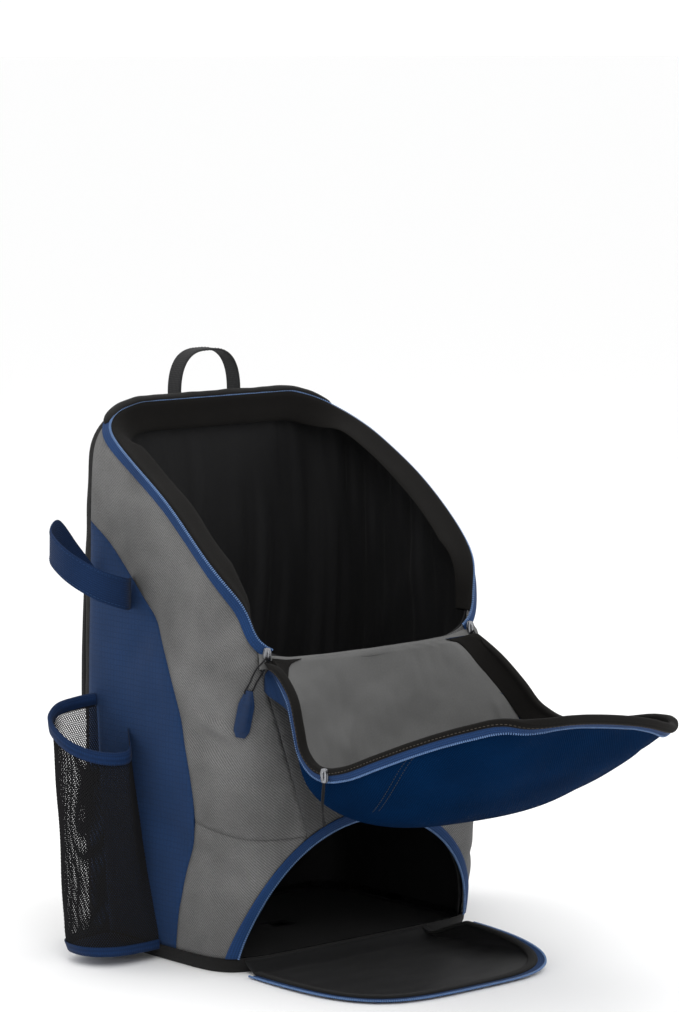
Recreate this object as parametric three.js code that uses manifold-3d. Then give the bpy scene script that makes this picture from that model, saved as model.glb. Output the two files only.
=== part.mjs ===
// A backpack for baseball gear, shown open. A hollow cloth body has a padded back, a main opening cut
// slantwise from the front fold to the top of the back, and a shoe compartment below. The front flap is
// a dish that hangs from the fold, the shoe door lies on the floor, and each side carries a mesh bat
// sleeve with a webbing loop above it.
// Millimetres, +Z up, the front faces -Y, and the origin is on the floor under the body.

import * as THREE from 'three';
import { mergeVertices } from 'three/addons/utils/BufferGeometryUtils.js';
import Module from 'manifold-3d';

const wasm = await Module();
wasm.setup();

// Body
const BODY_WIDTH = 326;
const FRONT_REACH = 137;
const BACK_REACH = 118;
const BODY_HEIGHT = 512;
const SQUARENESS = 7;
const WALL = 2.4;
const BACK_PAD = 12;
const BASE_FLOOR = 4;
const BASE_HEM = 14;
const LINING = 1.2;
const GAP = 0.3;

// Openings, zips and facings
const FOLD_HEIGHT = 290;
const SHELF_HEIGHT = 150;
const SHELF = 3;
const ARCH_HALF_WIDTH = 151;
const ARCH_HEIGHT = 140;
const TAPE_WIDTH = 9;
const TAPE = 1.4;
const FACING_WIDTH = 24;
const FACING = 2;

// Flap and door
const FLAP_REACH = 320;
const FLAP_SHELL = 1.6;
const FLAP_LIP = 7;
const GUSSET = 1;
const GUSSET_HEIGHT = 280;
const GUSSET_DROP = 14;
const GUSSET_FOLD = 3;
const DOOR_LENGTH = 182;
const DOOR_HALF_WIDTH = 156;
const DOOR_SQUARENESS = 4;
const DOOR = 3;
const DOOR_CURL = 24;

// Bat sleeves and straps
const SLEEVE_HEIGHT = 208;
const SLEEVE_FOOT = 10;
const SLEEVE_DEPTH = 74;
const SLEEVE_HALF_LENGTH = 40;
const SLEEVE_WALL = 1.5;
const SLEEVE_FLOOR = 3;
const SLEEVE_BACK = 30;
const SLEEVE_LEAN = 17;
const SLEEVE_TILT = 0.1;
const BINDING_HEIGHT = 11;
const STRAP_HEIGHT = 339;
const STRAP_RISE = 58;
const STRAP_WIDTH = 30;
const STRAP_SEAM = -0.4;
const WEBBING = 1.8;

// Haul loop and shoulder straps
const LOOP_WIDTH = 20;
const LOOP_SPAN = 74;
const LOOP_RISE = 46;
const SHOULDER_WIDTH = 62;
const SHOULDER_PAD = 11;
const SHOULDER_SPACING = 0.32 * BODY_WIDTH;
const TAIL_WIDTH = 24;

// Sliders and pulls
const SLIDER_LENGTH = 13;
const SLIDER_WIDTH = 8;
const SLIDER_THICK = 4;
const CORD = 3;
const CORD_LENGTH = 24;
const TAB_LENGTH = 44;
const TAB_WIDTH = 15;
const TAB_THICK = 4.5;

const FAR = 2 * BODY_HEIGHT;

// Facets: sides of a quarter of the body's ring, and the most that two levels lie apart, as a share.
const RING_STEPS = 6;
const LEVEL_STEP = 0.09;
const FLAP_STEPS = 8;
const FLAP_PROBE = 0.005;
const SLEEVE_STEPS = 12;
const SLEEVE_LEVELS = 7;

// Plan sections of the body, from the floor to the top of the back. The widths are shares of half of
// BODY_WIDTH, front and back are shares of their reach.
const bodySections = [
  { up: 0, wide: 0.95, front: 0.85, back: 0.965 },
  { up: 0.012, wide: 0.968, front: 0.872, back: 0.98 },
  { up: 0.03, wide: 0.98, front: 0.885, back: 0.99 },
  { up: 0.12, wide: 0.995, front: 0.935, back: 1 },
  { up: 0.28, wide: 1, front: 0.985, back: 1 },
  { up: 0.44, wide: 1, front: 1, back: 1 },
  { up: 0.57, wide: 0.993, front: 1, back: 1 },
  { up: 0.7, wide: 0.98, front: 0.965, back: 1 },
  { up: 0.82, wide: 0.972, front: 0.92, back: 1 },
  { up: 0.91, wide: 0.955, front: 0.86, back: 0.99 },
  { up: 0.945, wide: 0.92, front: 0.83, back: 0.98 },
  { up: 0.97, wide: 0.85, front: 0.8, back: 0.97 },
  { up: 0.987, wide: 0.755, front: 0.78, back: 0.96 },
  { up: 1, wide: 0.6, front: 0.75, back: 0.94 },
];

// Dents in the cloth. Along is a share of FRONT_REACH in front of the axis, up a share of BODY_HEIGHT,
// the spreads are shares of the same sizes, and depth is a share of BODY_WIDTH.
const sideDents = [
  { along: 0.86, up: 0.585, alongSpread: 0.34, upSpread: 0.03, rise: 0.16, depth: 0.016 },
  { along: 0.78, up: 0.41, alongSpread: 0.36, upSpread: 0.028, rise: -0.12, depth: 0.017 },
  { along: 0.2, up: 0.66, alongSpread: 0.5, upSpread: 0.05, rise: 0.3, depth: 0.011 },
  { along: 0.3, up: 0.245, alongSpread: 0.4, upSpread: 0.03, rise: -0.1, depth: 0.008 },
];

// The main opening seen from the side: along is a share of the whole depth behind the axis.
const openingCurve = [
  { along: -0.545, up: 0.567 },
  { along: -0.512, up: 0.611 },
  { along: -0.47, up: 0.682 },
  { along: -0.348, up: 0.75 },
  { along: -0.134, up: 0.84 },
  { along: 0.098, up: 0.911 },
  { along: 0.285, up: 0.961 },
  { along: 0.35, up: 0.99 },
];

// The seam between the navy gusset and the gray panels, seen from the side.
const gussetCurve = [
  { along: 0.36, up: 0.79 },
  { along: 0.24, up: 0.768 },
  { along: 0.07, up: 0.69 },
  { along: -0.06, up: 0.63 },
  { along: -0.155, up: 0.527 },
  { along: -0.248, up: 0.393 },
  { along: -0.297, up: 0.272 },
  { along: -0.25, up: 0.19 },
  { along: -0.19, up: 0.1 },
  { along: -0.16, up: 0.01 },
];

// The seam that splits the gray side panel, seen from the side.
const splitCurve = [
  { along: -0.2, up: 0.278 },
  { along: -0.4, up: 0.262 },
  { along: -0.5, up: 0.246 },
  { along: -0.56, up: 0.228 },
];

// The flap hangs as a dish. The keel is its middle line and the rim its zip edge: out is a share of
// FLAP_REACH in front of the body, up a share of FOLD_HEIGHT, wide a share of half of BODY_WIDTH. Drop
// is how much lower the right rim hangs than the left one, as a share of FOLD_HEIGHT.
const flapStations = [
  { keelOut: 0, keelUp: 1.005, rimWide: 0.8, rimOut: 0.012, rimUp: 1.01, drop: 0 },
  { keelOut: 0.03, keelUp: 0.87, rimWide: 0.845, rimOut: 0.096, rimUp: 0.995, drop: 0.05 },
  { keelOut: 0.054, keelUp: 0.735, rimWide: 0.877, rimOut: 0.175, rimUp: 0.93, drop: 0.062 },
  { keelOut: 0.088, keelUp: 0.614, rimWide: 0.9, rimOut: 0.216, rimUp: 0.845, drop: 0.03 },
  { keelOut: 0.153, keelUp: 0.531, rimWide: 0.914, rimOut: 0.248, rimUp: 0.77, drop: -0.02 },
  { keelOut: 0.256, keelUp: 0.493, rimWide: 0.92, rimOut: 0.312, rimUp: 0.728, drop: -0.04 },
  { keelOut: 0.378, keelUp: 0.5, rimWide: 0.908, rimOut: 0.404, rimUp: 0.742, drop: -0.028 },
  { keelOut: 0.519, keelUp: 0.541, rimWide: 0.877, rimOut: 0.522, rimUp: 0.795, drop: 0 },
  { keelOut: 0.659, keelUp: 0.621, rimWide: 0.828, rimOut: 0.654, rimUp: 0.855, drop: 0.03 },
  { keelOut: 0.8, keelUp: 0.731, rimWide: 0.742, rimOut: 0.79, rimUp: 0.912, drop: 0.055 },
  { keelOut: 0.916, keelUp: 0.85, rimWide: 0.64, rimOut: 0.905, rimUp: 0.95, drop: 0.08 },
  { keelOut: 0.998, keelUp: 0.94, rimWide: 0.515, rimOut: 0.978, rimUp: 0.955, drop: 0.09 },
];

// Plan outline of a bat sleeve from its front seam to its back seam. Out is a share of SLEEVE_DEPTH,
// along a share of SLEEVE_HALF_LENGTH. The front seam itself moves with the level.
const sleeveOutline = [
  { out: 0.3, along: -0.9 },
  { out: 0.7, along: -0.82 },
  { out: 0.95, along: -0.42 },
  { out: 1, along: 0.05 },
  { out: 0.93, along: 0.5 },
  { out: 0.66, along: 0.88 },
  { out: 0.3, along: 1.02 },
  { out: 0, along: 1.06 },
];

// Levels of a bat sleeve: full is a share of the outline's size, seam the front seam's place along.
const sleeveLevels = [
  { up: 0, full: 0.96, seam: -0.86 },
  { up: 0.06, full: 1.01, seam: -0.84 },
  { up: 0.2, full: 1.01, seam: -0.76 },
  { up: 0.42, full: 0.98, seam: -0.6 },
  { up: 0.66, full: 1, seam: -0.42 },
  { up: 0.88, full: 0.99, seam: -0.26 },
  { up: 1, full: 1.01, seam: -0.2 },
];

// Middle line of a shoulder strap behind the back: out is the distance behind the back panel as a share
// of SHOULDER_WIDTH, apart a share of SHOULDER_SPACING, up a share of BODY_HEIGHT.
const shoulderLine = [
  { apart: 0.46, out: 0.002, up: 0.962 },
  { apart: 0.48, out: 0.05, up: 0.93 },
  { apart: 0.51, out: 0.46, up: 0.89 },
  { apart: 0.55, out: 0.72, up: 0.82 },
  { apart: 0.63, out: 0.78, up: 0.68 },
  { apart: 0.73, out: 0.66, up: 0.54 },
  { apart: 0.84, out: 0.45, up: 0.41 },
];
const tailLine = [
  { apart: 0.86, out: 0.41, up: 0.395 },
  { apart: 0.96, out: 0.27, up: 0.28 },
  { apart: 1.07, out: 0.11, up: 0.17 },
  { apart: 1.12, out: 0.002, up: 0.115 },
  { apart: 1.14, out: 0.002, up: 0.08 },
];

const materials = {
  gray: cloth(0x767574, 0.85),
  navy: cloth(0x203a69, 0.75),
  flapNavy: cloth(0x13305c, 0.7),
  black: cloth(0x1b1b1c, 0.85),
  lining: cloth(0x5f5e5d, 0.8),
  facing: cloth(0x23201c, 0.8),
  tape: cloth(0x3e6096, 0.65),
  mesh: cloth(0x151516, 0.8),
  webbing: cloth(0x2c2d30, 0.8),
  cord: cloth(0x17181a, 0.7),
  metal: new THREE.MeshStandardMaterial({ color: 0x8f9296, roughness: 0.35, metalness: 1 }),
  tab: new THREE.MeshStandardMaterial({ color: 0x184276, roughness: 0.5, metalness: 0 }),
};

function cloth(color, roughness) {
  return new THREE.MeshStandardMaterial({ color, roughness, metalness: 0, side: THREE.DoubleSide });
}

// Value of a column at a place along a table, by a smooth curve through its rows.
function columnAt(rows, key, column, at) {
  let index = 0;
  while (index < rows.length - 2 && rows[index + 1][key] < at) index += 1;
  const before = rows[Math.max(index - 1, 0)];
  const low = rows[index];
  const high = rows[index + 1];
  const after = rows[Math.min(index + 2, rows.length - 1)];
  const span = high[key] - low[key];
  const share = Math.min(Math.max((at - low[key]) / span, 0), 1);
  const lowSlope = (high[column] - before[column]) / (high[key] - before[key]);
  const highSlope = (after[column] - low[column]) / (after[key] - low[key]);
  const square = share * share;
  const cube = square * share;
  return (
    (2 * cube - 3 * square + 1) * low[column] +
    (cube - 2 * square + share) * span * lowSlope +
    (3 * square - 2 * cube) * high[column] +
    (cube - square) * span * highSlope
  );
}

// Points [y, z] on a smooth curve through a table seen from the side.
function sideCurve(rows, steps) {
  const depth = FRONT_REACH + BACK_REACH;
  const points = rows.map((row) => new THREE.Vector2(row.along * depth, row.up * BODY_HEIGHT));
  return new THREE.SplineCurve(points).getPoints(steps).map((point) => [point.x, point.y]);
}

// The same line moved sideways by a distance, to the right of its direction.
function shifted(line, distance) {
  return line.map((point, index) => {
    const before = line[Math.max(index - 1, 0)];
    const after = line[Math.min(index + 1, line.length - 1)];
    const length = Math.hypot(after[0] - before[0], after[1] - before[1]);
    const right = [(after[1] - before[1]) / length, -(after[0] - before[0]) / length];
    return [point[0] + distance * right[0], point[1] + distance * right[1]];
  });
}

function geometryOf(vertices, triangles) {
  const geometry = new THREE.BufferGeometry();
  geometry.setAttribute('position', new THREE.Float32BufferAttribute(vertices.flat(), 3));
  geometry.setIndex(triangles.flat());
  return outward(geometry);
}

// Turns a closed geometry so that its faces point out.
function outward(geometry) {
  const position = geometry.getAttribute('position');
  const index = geometry.getIndex().array;
  const corner = [new THREE.Vector3(), new THREE.Vector3(), new THREE.Vector3()];
  let volume = 0;
  for (let i = 0; i < index.length; i += 3) {
    corner.forEach((point, k) => point.fromBufferAttribute(position, index[i + k]));
    volume += corner[0].dot(corner[1].clone().cross(corner[2]));
  }
  if (volume < 0) {
    for (let i = 0; i < index.length; i += 3) {
      [index[i], index[i + 1]] = [index[i + 1], index[i]];
    }
  }
  return geometry;
}

// A closed solid between two matching grids of points.
function sheet(outer, inner) {
  const rows = outer.length;
  const columns = outer[0].length;
  const vertices = [...outer.flat(), ...inner.flat()];
  const at = (layer, i, j) => layer * rows * columns + i * columns + j;
  const triangles = [];
  const quad = (a, b, c, d) => triangles.push([a, b, c], [a, c, d]);
  for (let i = 0; i < rows - 1; i += 1) {
    for (let j = 0; j < columns - 1; j += 1) {
      quad(at(0, i, j), at(0, i + 1, j), at(0, i + 1, j + 1), at(0, i, j + 1));
      quad(at(1, i, j), at(1, i, j + 1), at(1, i + 1, j + 1), at(1, i + 1, j));
    }
  }
  for (let i = 0; i < rows - 1; i += 1) {
    quad(at(0, i, 0), at(1, i, 0), at(1, i + 1, 0), at(0, i + 1, 0));
    quad(at(0, i, columns - 1), at(0, i + 1, columns - 1), at(1, i + 1, columns - 1), at(1, i, columns - 1));
  }
  for (let j = 0; j < columns - 1; j += 1) {
    quad(at(0, 0, j), at(0, 0, j + 1), at(1, 0, j + 1), at(1, 0, j));
    quad(at(0, rows - 1, j), at(1, rows - 1, j), at(1, rows - 1, j + 1), at(0, rows - 1, j + 1));
  }
  return geometryOf(vertices, triangles);
}

// A closed solid through rings of points, with flat ends.
function loft(rings) {
  const count = rings[0].length;
  const vertices = rings.flat();
  const triangles = [];
  for (let i = 0; i < rings.length - 1; i += 1) {
    for (let j = 0; j < count; j += 1) {
      const next = (j + 1) % count;
      const a = i * count + j;
      const b = i * count + next;
      triangles.push([a, b, b + count], [a, b + count, a + count]);
    }
  }
  for (const [ring, start] of [[rings[0], 0], [rings[rings.length - 1], (rings.length - 1) * count]]) {
    const centre = ring[0].map((_, axis) => ring.reduce((sum, point) => sum + point[axis], 0) / count);
    const hub = vertices.push(centre) - 1;
    for (let j = 0; j < count; j += 1) {
      const a = start + j;
      const b = start + ((j + 1) % count);
      triangles.push(start === 0 ? [b, a, hub] : [a, b, hub]);
    }
  }
  return geometryOf(vertices, triangles);
}

// The same geometry with shared vertices merged and triangles without area left out.
function welded(geometry) {
  const plain = geometry.clone();
  plain.deleteAttribute('normal');
  plain.deleteAttribute('uv');
  const merged = mergeVertices(plain, 1e-4);
  const index = merged.getIndex().array;
  const kept = [];
  for (let i = 0; i < index.length; i += 3) {
    const [a, b, c] = [index[i], index[i + 1], index[i + 2]];
    if (a !== b && b !== c && c !== a) kept.push(a, b, c);
  }
  merged.setIndex(kept);
  return merged;
}

function solidOf(geometry) {
  const merged = welded(geometry);
  const vertProperties = new Float32Array(merged.getAttribute('position').array);
  const triVerts = new Uint32Array(merged.getIndex().array);
  return new wasm.Manifold(new wasm.Mesh({ numProp: 3, vertProperties, triVerts }));
}

function geometryFrom(solid) {
  const mesh = solid.getMesh();
  const geometry = new THREE.BufferGeometry();
  geometry.setAttribute('position', new THREE.BufferAttribute(new Float32Array(mesh.vertProperties), 3));
  geometry.setIndex(new THREE.BufferAttribute(new Uint32Array(mesh.triVerts), 1));
  return geometry;
}

function extruded(outline, depth) {
  const shape = new THREE.Shape(outline.map((point) => new THREE.Vector2(point[0], point[1])));
  return new THREE.ExtrudeGeometry(shape, { depth, bevelEnabled: false, steps: 1 });
}

// An outline of [y, z] points carried from x = low to x = high.
function acrossX(outline, low, high) {
  const turn = new THREE.Matrix4().set(0, 0, 1, low, 1, 0, 0, 0, 0, 1, 0, 0, 0, 0, 0, 1);
  return solidOf(extruded(outline, high - low).applyMatrix4(turn));
}

// An outline of [x, z] points carried from y = low to y = high.
function alongY(outline, low, high) {
  const turn = new THREE.Matrix4().set(1, 0, 0, 0, 0, 0, -1, high, 0, 1, 0, 0, 0, 0, 0, 1);
  return solidOf(extruded(outline, high - low).applyMatrix4(turn));
}

function block(low, high) {
  const geometry = new THREE.BoxGeometry(high[0] - low[0], high[1] - low[1], high[2] - low[2]);
  geometry.translate((low[0] + high[0]) / 2, (low[1] + high[1]) / 2, (low[2] + high[2]) / 2);
  return solidOf(geometry);
}

const bag = new THREE.Group();

function place(name, shape, material, mirror = 1) {
  const geometry = shape.isBufferGeometry ? welded(shape) : geometryFrom(shape);
  if (mirror < 0) {
    geometry.scale(-1, 1, 1);
    outward(geometry);
  }
  const mesh = new THREE.Mesh(geometry, material);
  mesh.name = name;
  bag.add(mesh);
}

// Body shape

function sizesAt(z) {
  const up = z / BODY_HEIGHT;
  return {
    half: (BODY_WIDTH / 2) * columnAt(bodySections, 'up', 'wide', up),
    front: FRONT_REACH * columnAt(bodySections, 'up', 'front', up),
    back: BACK_REACH * columnAt(bodySections, 'up', 'back', up),
  };
}

function dentAt(y, z) {
  let depth = 0;
  for (const dent of sideDents) {
    const ahead = (-y / FRONT_REACH - dent.along) / dent.alongSpread;
    const above = (z / BODY_HEIGHT - dent.up - dent.rise * (-y / FRONT_REACH - dent.along)) / dent.upSpread;
    depth += dent.depth * BODY_WIDTH * Math.exp(-ahead * ahead - above * above);
  }
  return depth;
}

// Directions to the sides of a square, closer together towards its corners.
function squareDirections(steps) {
  const eased = Array.from({ length: steps }, (_, k) => {
    const even = (2 * k) / steps - 1;
    return 0.45 * even + 0.55 * Math.sin((Math.PI / 2) * even);
  });
  return [
    ...eased.map((s) => [1, s]),
    ...eased.map((s) => [-s, 1]),
    ...eased.map((s) => [-1, -s]),
    ...eased.map((s) => [s, -1]),
  ];
}

// One plan outline of the body, moved in by an inset at the sides and front and another at the back.
function bodyRing(z, inset, backInset) {
  const { half, front, back } = sizesAt(Math.min(Math.max(z, 0), BODY_HEIGHT));
  return squareDirections(RING_STEPS).map(([sx, sy]) => {
    const outerDepth = sy > 0 ? back : front;
    const depth = sy > 0 ? back - backInset : front - inset;
    const across = Math.abs(sx * half) / (half - inset);
    const along = Math.abs(sy * outerDepth) / depth;
    const reach = (across ** SQUARENESS + along ** SQUARENESS) ** (-1 / SQUARENESS);
    const x = sx * half * reach;
    const y = sy * outerDepth * reach;
    const sideways = Math.abs(x / half) ** 6;
    return [x - Math.sign(x) * sideways * dentAt(y, z), y, z];
  });
}

// The whole body as a solid, moved in by the insets.
function bodySolid(inset, backInset, floorInset) {
  const levels = [];
  for (let i = 0; i < bodySections.length - 1; i += 1) {
    const low = bodySections[i].up;
    const high = bodySections[i + 1].up;
    const parts = Math.ceil((high - low) / LEVEL_STEP);
    for (let k = 0; k < parts; k += 1) levels.push(low + ((high - low) * k) / parts);
  }
  levels.push(1);
  const top = BODY_HEIGHT - inset;
  return solidOf(loft(levels.map((up) => bodyRing(floorInset + (top - floorInset) * up, inset, backInset))));
}

// Place of the body's outer face at the side, for a height and a depth.
function sideX(y, z) {
  const { half, front, back } = sizesAt(z);
  const share = Math.min(Math.abs(y) / (y > 0 ? back : front), 0.995);
  return half * (1 - share ** SQUARENESS) ** (1 / SQUARENESS);
}

// Place of the body's outer face at the front, for a height and a distance from the middle.
function frontY(x, z) {
  const { half, front } = sizesAt(z);
  const share = Math.min(Math.abs(x) / half, 0.995);
  return -front * (1 - share ** SQUARENESS) ** (1 / SQUARENESS);
}

// Place of the body's outer face at the back.
function backY(x, z) {
  const { half, back } = sizesAt(z);
  return back * (1 - (Math.abs(x) / half) ** SQUARENESS) ** (1 / SQUARENESS);
}

// A point on the outer face and the direction out of it, from a depth and a height on one side.
function onSide(side, y, z, proud) {
  const { half, front, back } = sizesAt(z);
  const depth = y > 0 ? back : front;
  const x = sideX(y, z);
  const out = new THREE.Vector3(
    (side * (x / half) ** (SQUARENESS - 1)) / half,
    (Math.sign(y) * (Math.abs(y) / depth) ** (SQUARENESS - 1)) / depth,
    0,
  ).normalize();
  return { point: new THREE.Vector3(side * x, y, z).addScaledVector(out, proud), out };
}

// Cutting shapes for the body's panels

const openingLine = [[-FAR, FOLD_HEIGHT], ...sideCurve(openingCurve, 14)];
openingLine.push([openingLine[openingLine.length - 1][0], FAR]);

function underOpening(drop) {
  const edge = shifted(openingLine, drop);
  return acrossX([...edge, [FAR, FAR], [FAR, -FAR], [-FAR, -FAR]].reverse(), -FAR, FAR);
}

function besideOpening(near, far) {
  const edge = shifted(openingLine, near);
  const other = shifted(openingLine, far).reverse();
  return acrossX([...edge, ...other].reverse(), -FAR, FAR);
}

const backSeam = openingLine[openingLine.length - 1][0];

function backZone(grow) {
  return block([-FAR, backSeam - grow, -FAR], [FAR, FAR, FAR]);
}

function gussetZone(grow) {
  const line = sideCurve(gussetCurve, 16);
  const last = line[line.length - 1];
  const edge = shifted([...line, [last[0], -FAR]], grow);
  return acrossX([...edge, [FAR, -FAR], [FAR, line[0][1] + grow]], -FAR, FAR);
}

function lowerZone(grow) {
  const line = sideCurve(splitCurve, 6);
  const first = line[0];
  const edge = shifted([[FAR, first[1]], ...line, [-FAR, line[line.length - 1][1]]], grow);
  return acrossX([...edge, [-FAR, -FAR], [FAR, -FAR]], -FAR, FAR);
}

const seamTop = 0.8 * (BODY_WIDTH / 2);
const seamFoot = 0.47 * ARCH_HALF_WIDTH;

function frontZone(grow) {
  const low = ARCH_HEIGHT * 0.8;
  const outline = [
    [-seamFoot - grow, low],
    [seamFoot + grow, low],
    [seamTop + grow, FOLD_HEIGHT],
    [seamTop + grow, FAR],
    [-seamTop - grow, FAR],
    [-seamTop - grow, FOLD_HEIGHT],
  ];
  return alongY(outline, -FAR, 0);
}

function archZone(shrink) {
  const outline = [];
  for (let k = 0; k <= 20; k += 1) {
    const turn = (Math.PI * k) / 20;
    outline.push([(ARCH_HALF_WIDTH - shrink) * Math.cos(turn), (ARCH_HEIGHT - shrink) * Math.sin(turn)]);
  }
  const half = ARCH_HALF_WIDTH - shrink;
  return alongY([[half, -BODY_HEIGHT], ...outline, [-half, -BODY_HEIGHT]], -FAR, 0);
}

// Panels of the body

const wholeBody = bodySolid(0, 0, 0);
const cavity = bodySolid(WALL, BACK_PAD, BASE_FLOOR);
const walls = wholeBody.subtract(cavity);
const aboveHem = block([-FAR, -FAR, BASE_HEM], [FAR, FAR, FAR]);
const hemAndUnder = block([-FAR, -FAR, -FAR], [FAR, FAR, BASE_HEM - GAP]);
const panels = walls.intersect(aboveHem).intersect(underOpening(0)).subtract(archZone(TAPE_WIDTH / 2));

place('base_tray', walls.intersect(hemAndUnder), materials.black);
place('back_panel', panels.intersect(backZone(0)), materials.black);
place('front_panel', panels.intersect(frontZone(0)), materials.gray);

const sideWalls = panels.subtract(backZone(GAP)).subtract(frontZone(GAP));
const gussetWalls = sideWalls.intersect(gussetZone(0));
const lowerWalls = sideWalls.subtract(gussetZone(GAP)).intersect(lowerZone(0));
const upperWalls = sideWalls.subtract(gussetZone(GAP)).subtract(lowerZone(GAP));

for (const [label, low, high] of [['left', -FAR, -GAP / 2], ['right', GAP / 2, FAR]]) {
  const half = block([low, -FAR, -FAR], [high, FAR, FAR]);
  place(`side_panel_upper_${label}`, upperWalls.intersect(half), materials.gray);
  place(`side_panel_lower_${label}`, lowerWalls.intersect(half), materials.gray);
  place(`side_gusset_${label}`, gussetWalls.intersect(half), materials.navy);
}

// Lining, shelf, facing and zip tapes

const liningInset = WALL + GAP;
const roomInset = liningInset + LINING + GAP;
const padStep = BACK_PAD - WALL;
const floorStep = BASE_FLOOR - WALL;
const liningOuter = bodySolid(liningInset, liningInset + padStep, liningInset + floorStep);
const liningInside = liningInset + LINING;
const liningInner = bodySolid(liningInside, liningInside + padStep, liningInside + floorStep);
const room = bodySolid(roomInset, roomInset + padStep, roomInset + floorStep);
const lining = liningOuter
  .subtract(liningInner)
  .intersect(underOpening(GAP))
  .subtract(archZone(TAPE_WIDTH / 2).intersect(aboveHem));
place('inner_lining', lining, materials.black);

const shelfSlab = block([-FAR, -FAR, SHELF_HEIGHT], [FAR, FAR, SHELF_HEIGHT + SHELF]);
place('compartment_shelf', room.intersect(shelfSlab), materials.black);

const facingFront = block([-FAR, -FRONT_REACH * 0.86, -FAR], [FAR, FAR, FAR]);
const facingMiddle = BODY_WIDTH / 2 - roomInset - FACING_WIDTH * 1.2;
const facingMouth = block([-facingMiddle, -FAR, -FAR], [facingMiddle, 0, FAR]);
const deepRoom = bodySolid(roomInset + FACING_WIDTH, roomInset + padStep, roomInset + FACING_WIDTH);
const facing = room.subtract(deepRoom).intersect(besideOpening(GAP, GAP + FACING)).intersect(facingFront);
place('main_facing', facing.subtract(facingMouth), materials.facing);

const tapeUnder = bodySolid(-GAP, -GAP, -GAP);
const tapeOver = bodySolid(-GAP - TAPE, -GAP - TAPE, -GAP - TAPE);
const tapeShell = tapeOver.subtract(tapeUnder);
const tapeStart = -FRONT_REACH * 0.985;
const behindTapeStart = block([-FAR, tapeStart, -FAR], [FAR, FAR, FAR]);
const mainTape = tapeShell.intersect(besideOpening(0, TAPE_WIDTH)).intersect(behindTapeStart);
place('main_zip_tape', mainTape, materials.tape);

const archBand = archZone(0).subtract(archZone(TAPE_WIDTH)).intersect(aboveHem);
place('shoe_arch_tape', tapeShell.intersect(archBand), materials.tape);

// Front flap

const flapStart = -FRONT_REACH - GAP;
const keel = (at) => new THREE.Vector3(
  0,
  flapStart - FLAP_REACH * columnAt(flapRows, 'step', 'keelOut', at),
  FOLD_HEIGHT * columnAt(flapRows, 'step', 'keelUp', at),
);
const flapRim = (at) => new THREE.Vector3(
  (BODY_WIDTH / 2) * columnAt(flapRows, 'step', 'rimWide', at),
  flapStart - FLAP_REACH * columnAt(flapRows, 'step', 'rimOut', at),
  FOLD_HEIGHT * columnAt(flapRows, 'step', 'rimUp', at),
);
const flapRows = flapStations.map((row, index) => ({ step: index / (flapStations.length - 1), ...row }));

// A point of the flap's outer face: at runs from the fold to the tip, turn from rim to rim. The cloth
// stands a little higher just inside the rim, because the padded edge droops outward.
function flapPoint(at, turn) {
  const angle = (Math.PI / 2) * turn;
  const rise = (1 - Math.cos(angle)) ** 1.15;
  const middle = keel(at);
  const edge = flapRim(at);
  const besideRim = Math.exp(-(((Math.abs(turn) - 0.84) / 0.1) ** 2)) * Math.min(at * 4, 1);
  const besideTip = Math.exp(-(((at - 0.925) / 0.05) ** 2));
  const lip = FLAP_LIP * Math.max(besideRim, besideTip);
  const rightward = ((1 + Math.sin(angle)) / 2) ** 2.2;
  const drop = FOLD_HEIGHT * columnAt(flapRows, 'step', 'drop', at) * rightward;
  return new THREE.Vector3(
    edge.x * Math.sin(angle),
    middle.y + (edge.y - middle.y) * rise,
    middle.z + (edge.z - middle.z) * rise + lip - drop,
  );
}

// The direction from the outer face into the dish.
function flapInward(at, turn) {
  const step = 0.01;
  const lowAt = Math.max(at - step, 0);
  const highAt = Math.min(at + step, 1);
  const lowTurn = Math.max(turn - step, -1);
  const highTurn = Math.min(turn + step, 1);
  const down = flapPoint(highAt, turn).sub(flapPoint(lowAt, turn));
  const around = flapPoint(at, highTurn).sub(flapPoint(at, lowTurn));
  return around.cross(down).normalize().negate();
}

// The turn that lies a distance inside the rim, and the place that lies it inside the tip.
function turnInside(at, distance) {
  let turn = 1;
  let length = 0;
  while (length < distance && turn > 0.3) {
    length += flapPoint(at, turn).distanceTo(flapPoint(at, turn - FLAP_PROBE));
    turn -= FLAP_PROBE;
  }
  return turn;
}

function placeInside(distance) {
  return 1 - distance / (keel(1).distanceTo(keel(0.95)) / 0.05);
}

// Rows and columns of the flap's grid. The last rows and the outer columns follow the rim.
const flapPlaces = [];
for (let i = 0; i <= FLAP_STEPS; i += 1) flapPlaces.push((i / FLAP_STEPS) * placeInside(FACING_WIDTH));
flapPlaces.push(placeInside(TAPE_WIDTH), 1);
const flapGrid = flapPlaces.map((at) => {
  const inner = turnInside(at, FACING_WIDTH);
  const middle = Array.from({ length: FLAP_STEPS + 1 }, (_, k) => inner * ((2 * k) / FLAP_STEPS - 1));
  const tape = turnInside(at, TAPE_WIDTH);
  return [-1, -tape, ...middle, tape, 1].map((turn) => [at, turn]);
});
const lastRow = flapGrid.length - 1;
const lastColumn = flapGrid[0].length - 1;

function flapAt(i, j, depth, kept = 1) {
  const at = (flapGrid[i][j][0] * (1 + kept)) / 2;
  const turn = flapGrid[i][j][1] * kept;
  return flapPoint(at, turn).addScaledVector(flapInward(at, turn), depth).toArray();
}

// One face of the flap at a depth from its outer face, without the outermost rows and columns.
function flapLayer(depth, margin, kept = 1) {
  const rows = [];
  for (let i = 0; i <= lastRow - margin; i += 1) {
    const row = [];
    for (let j = margin; j <= lastColumn - margin; j += 1) row.push(flapAt(i, j, depth, kept));
    rows.push(row);
  }
  return rows;
}

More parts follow.
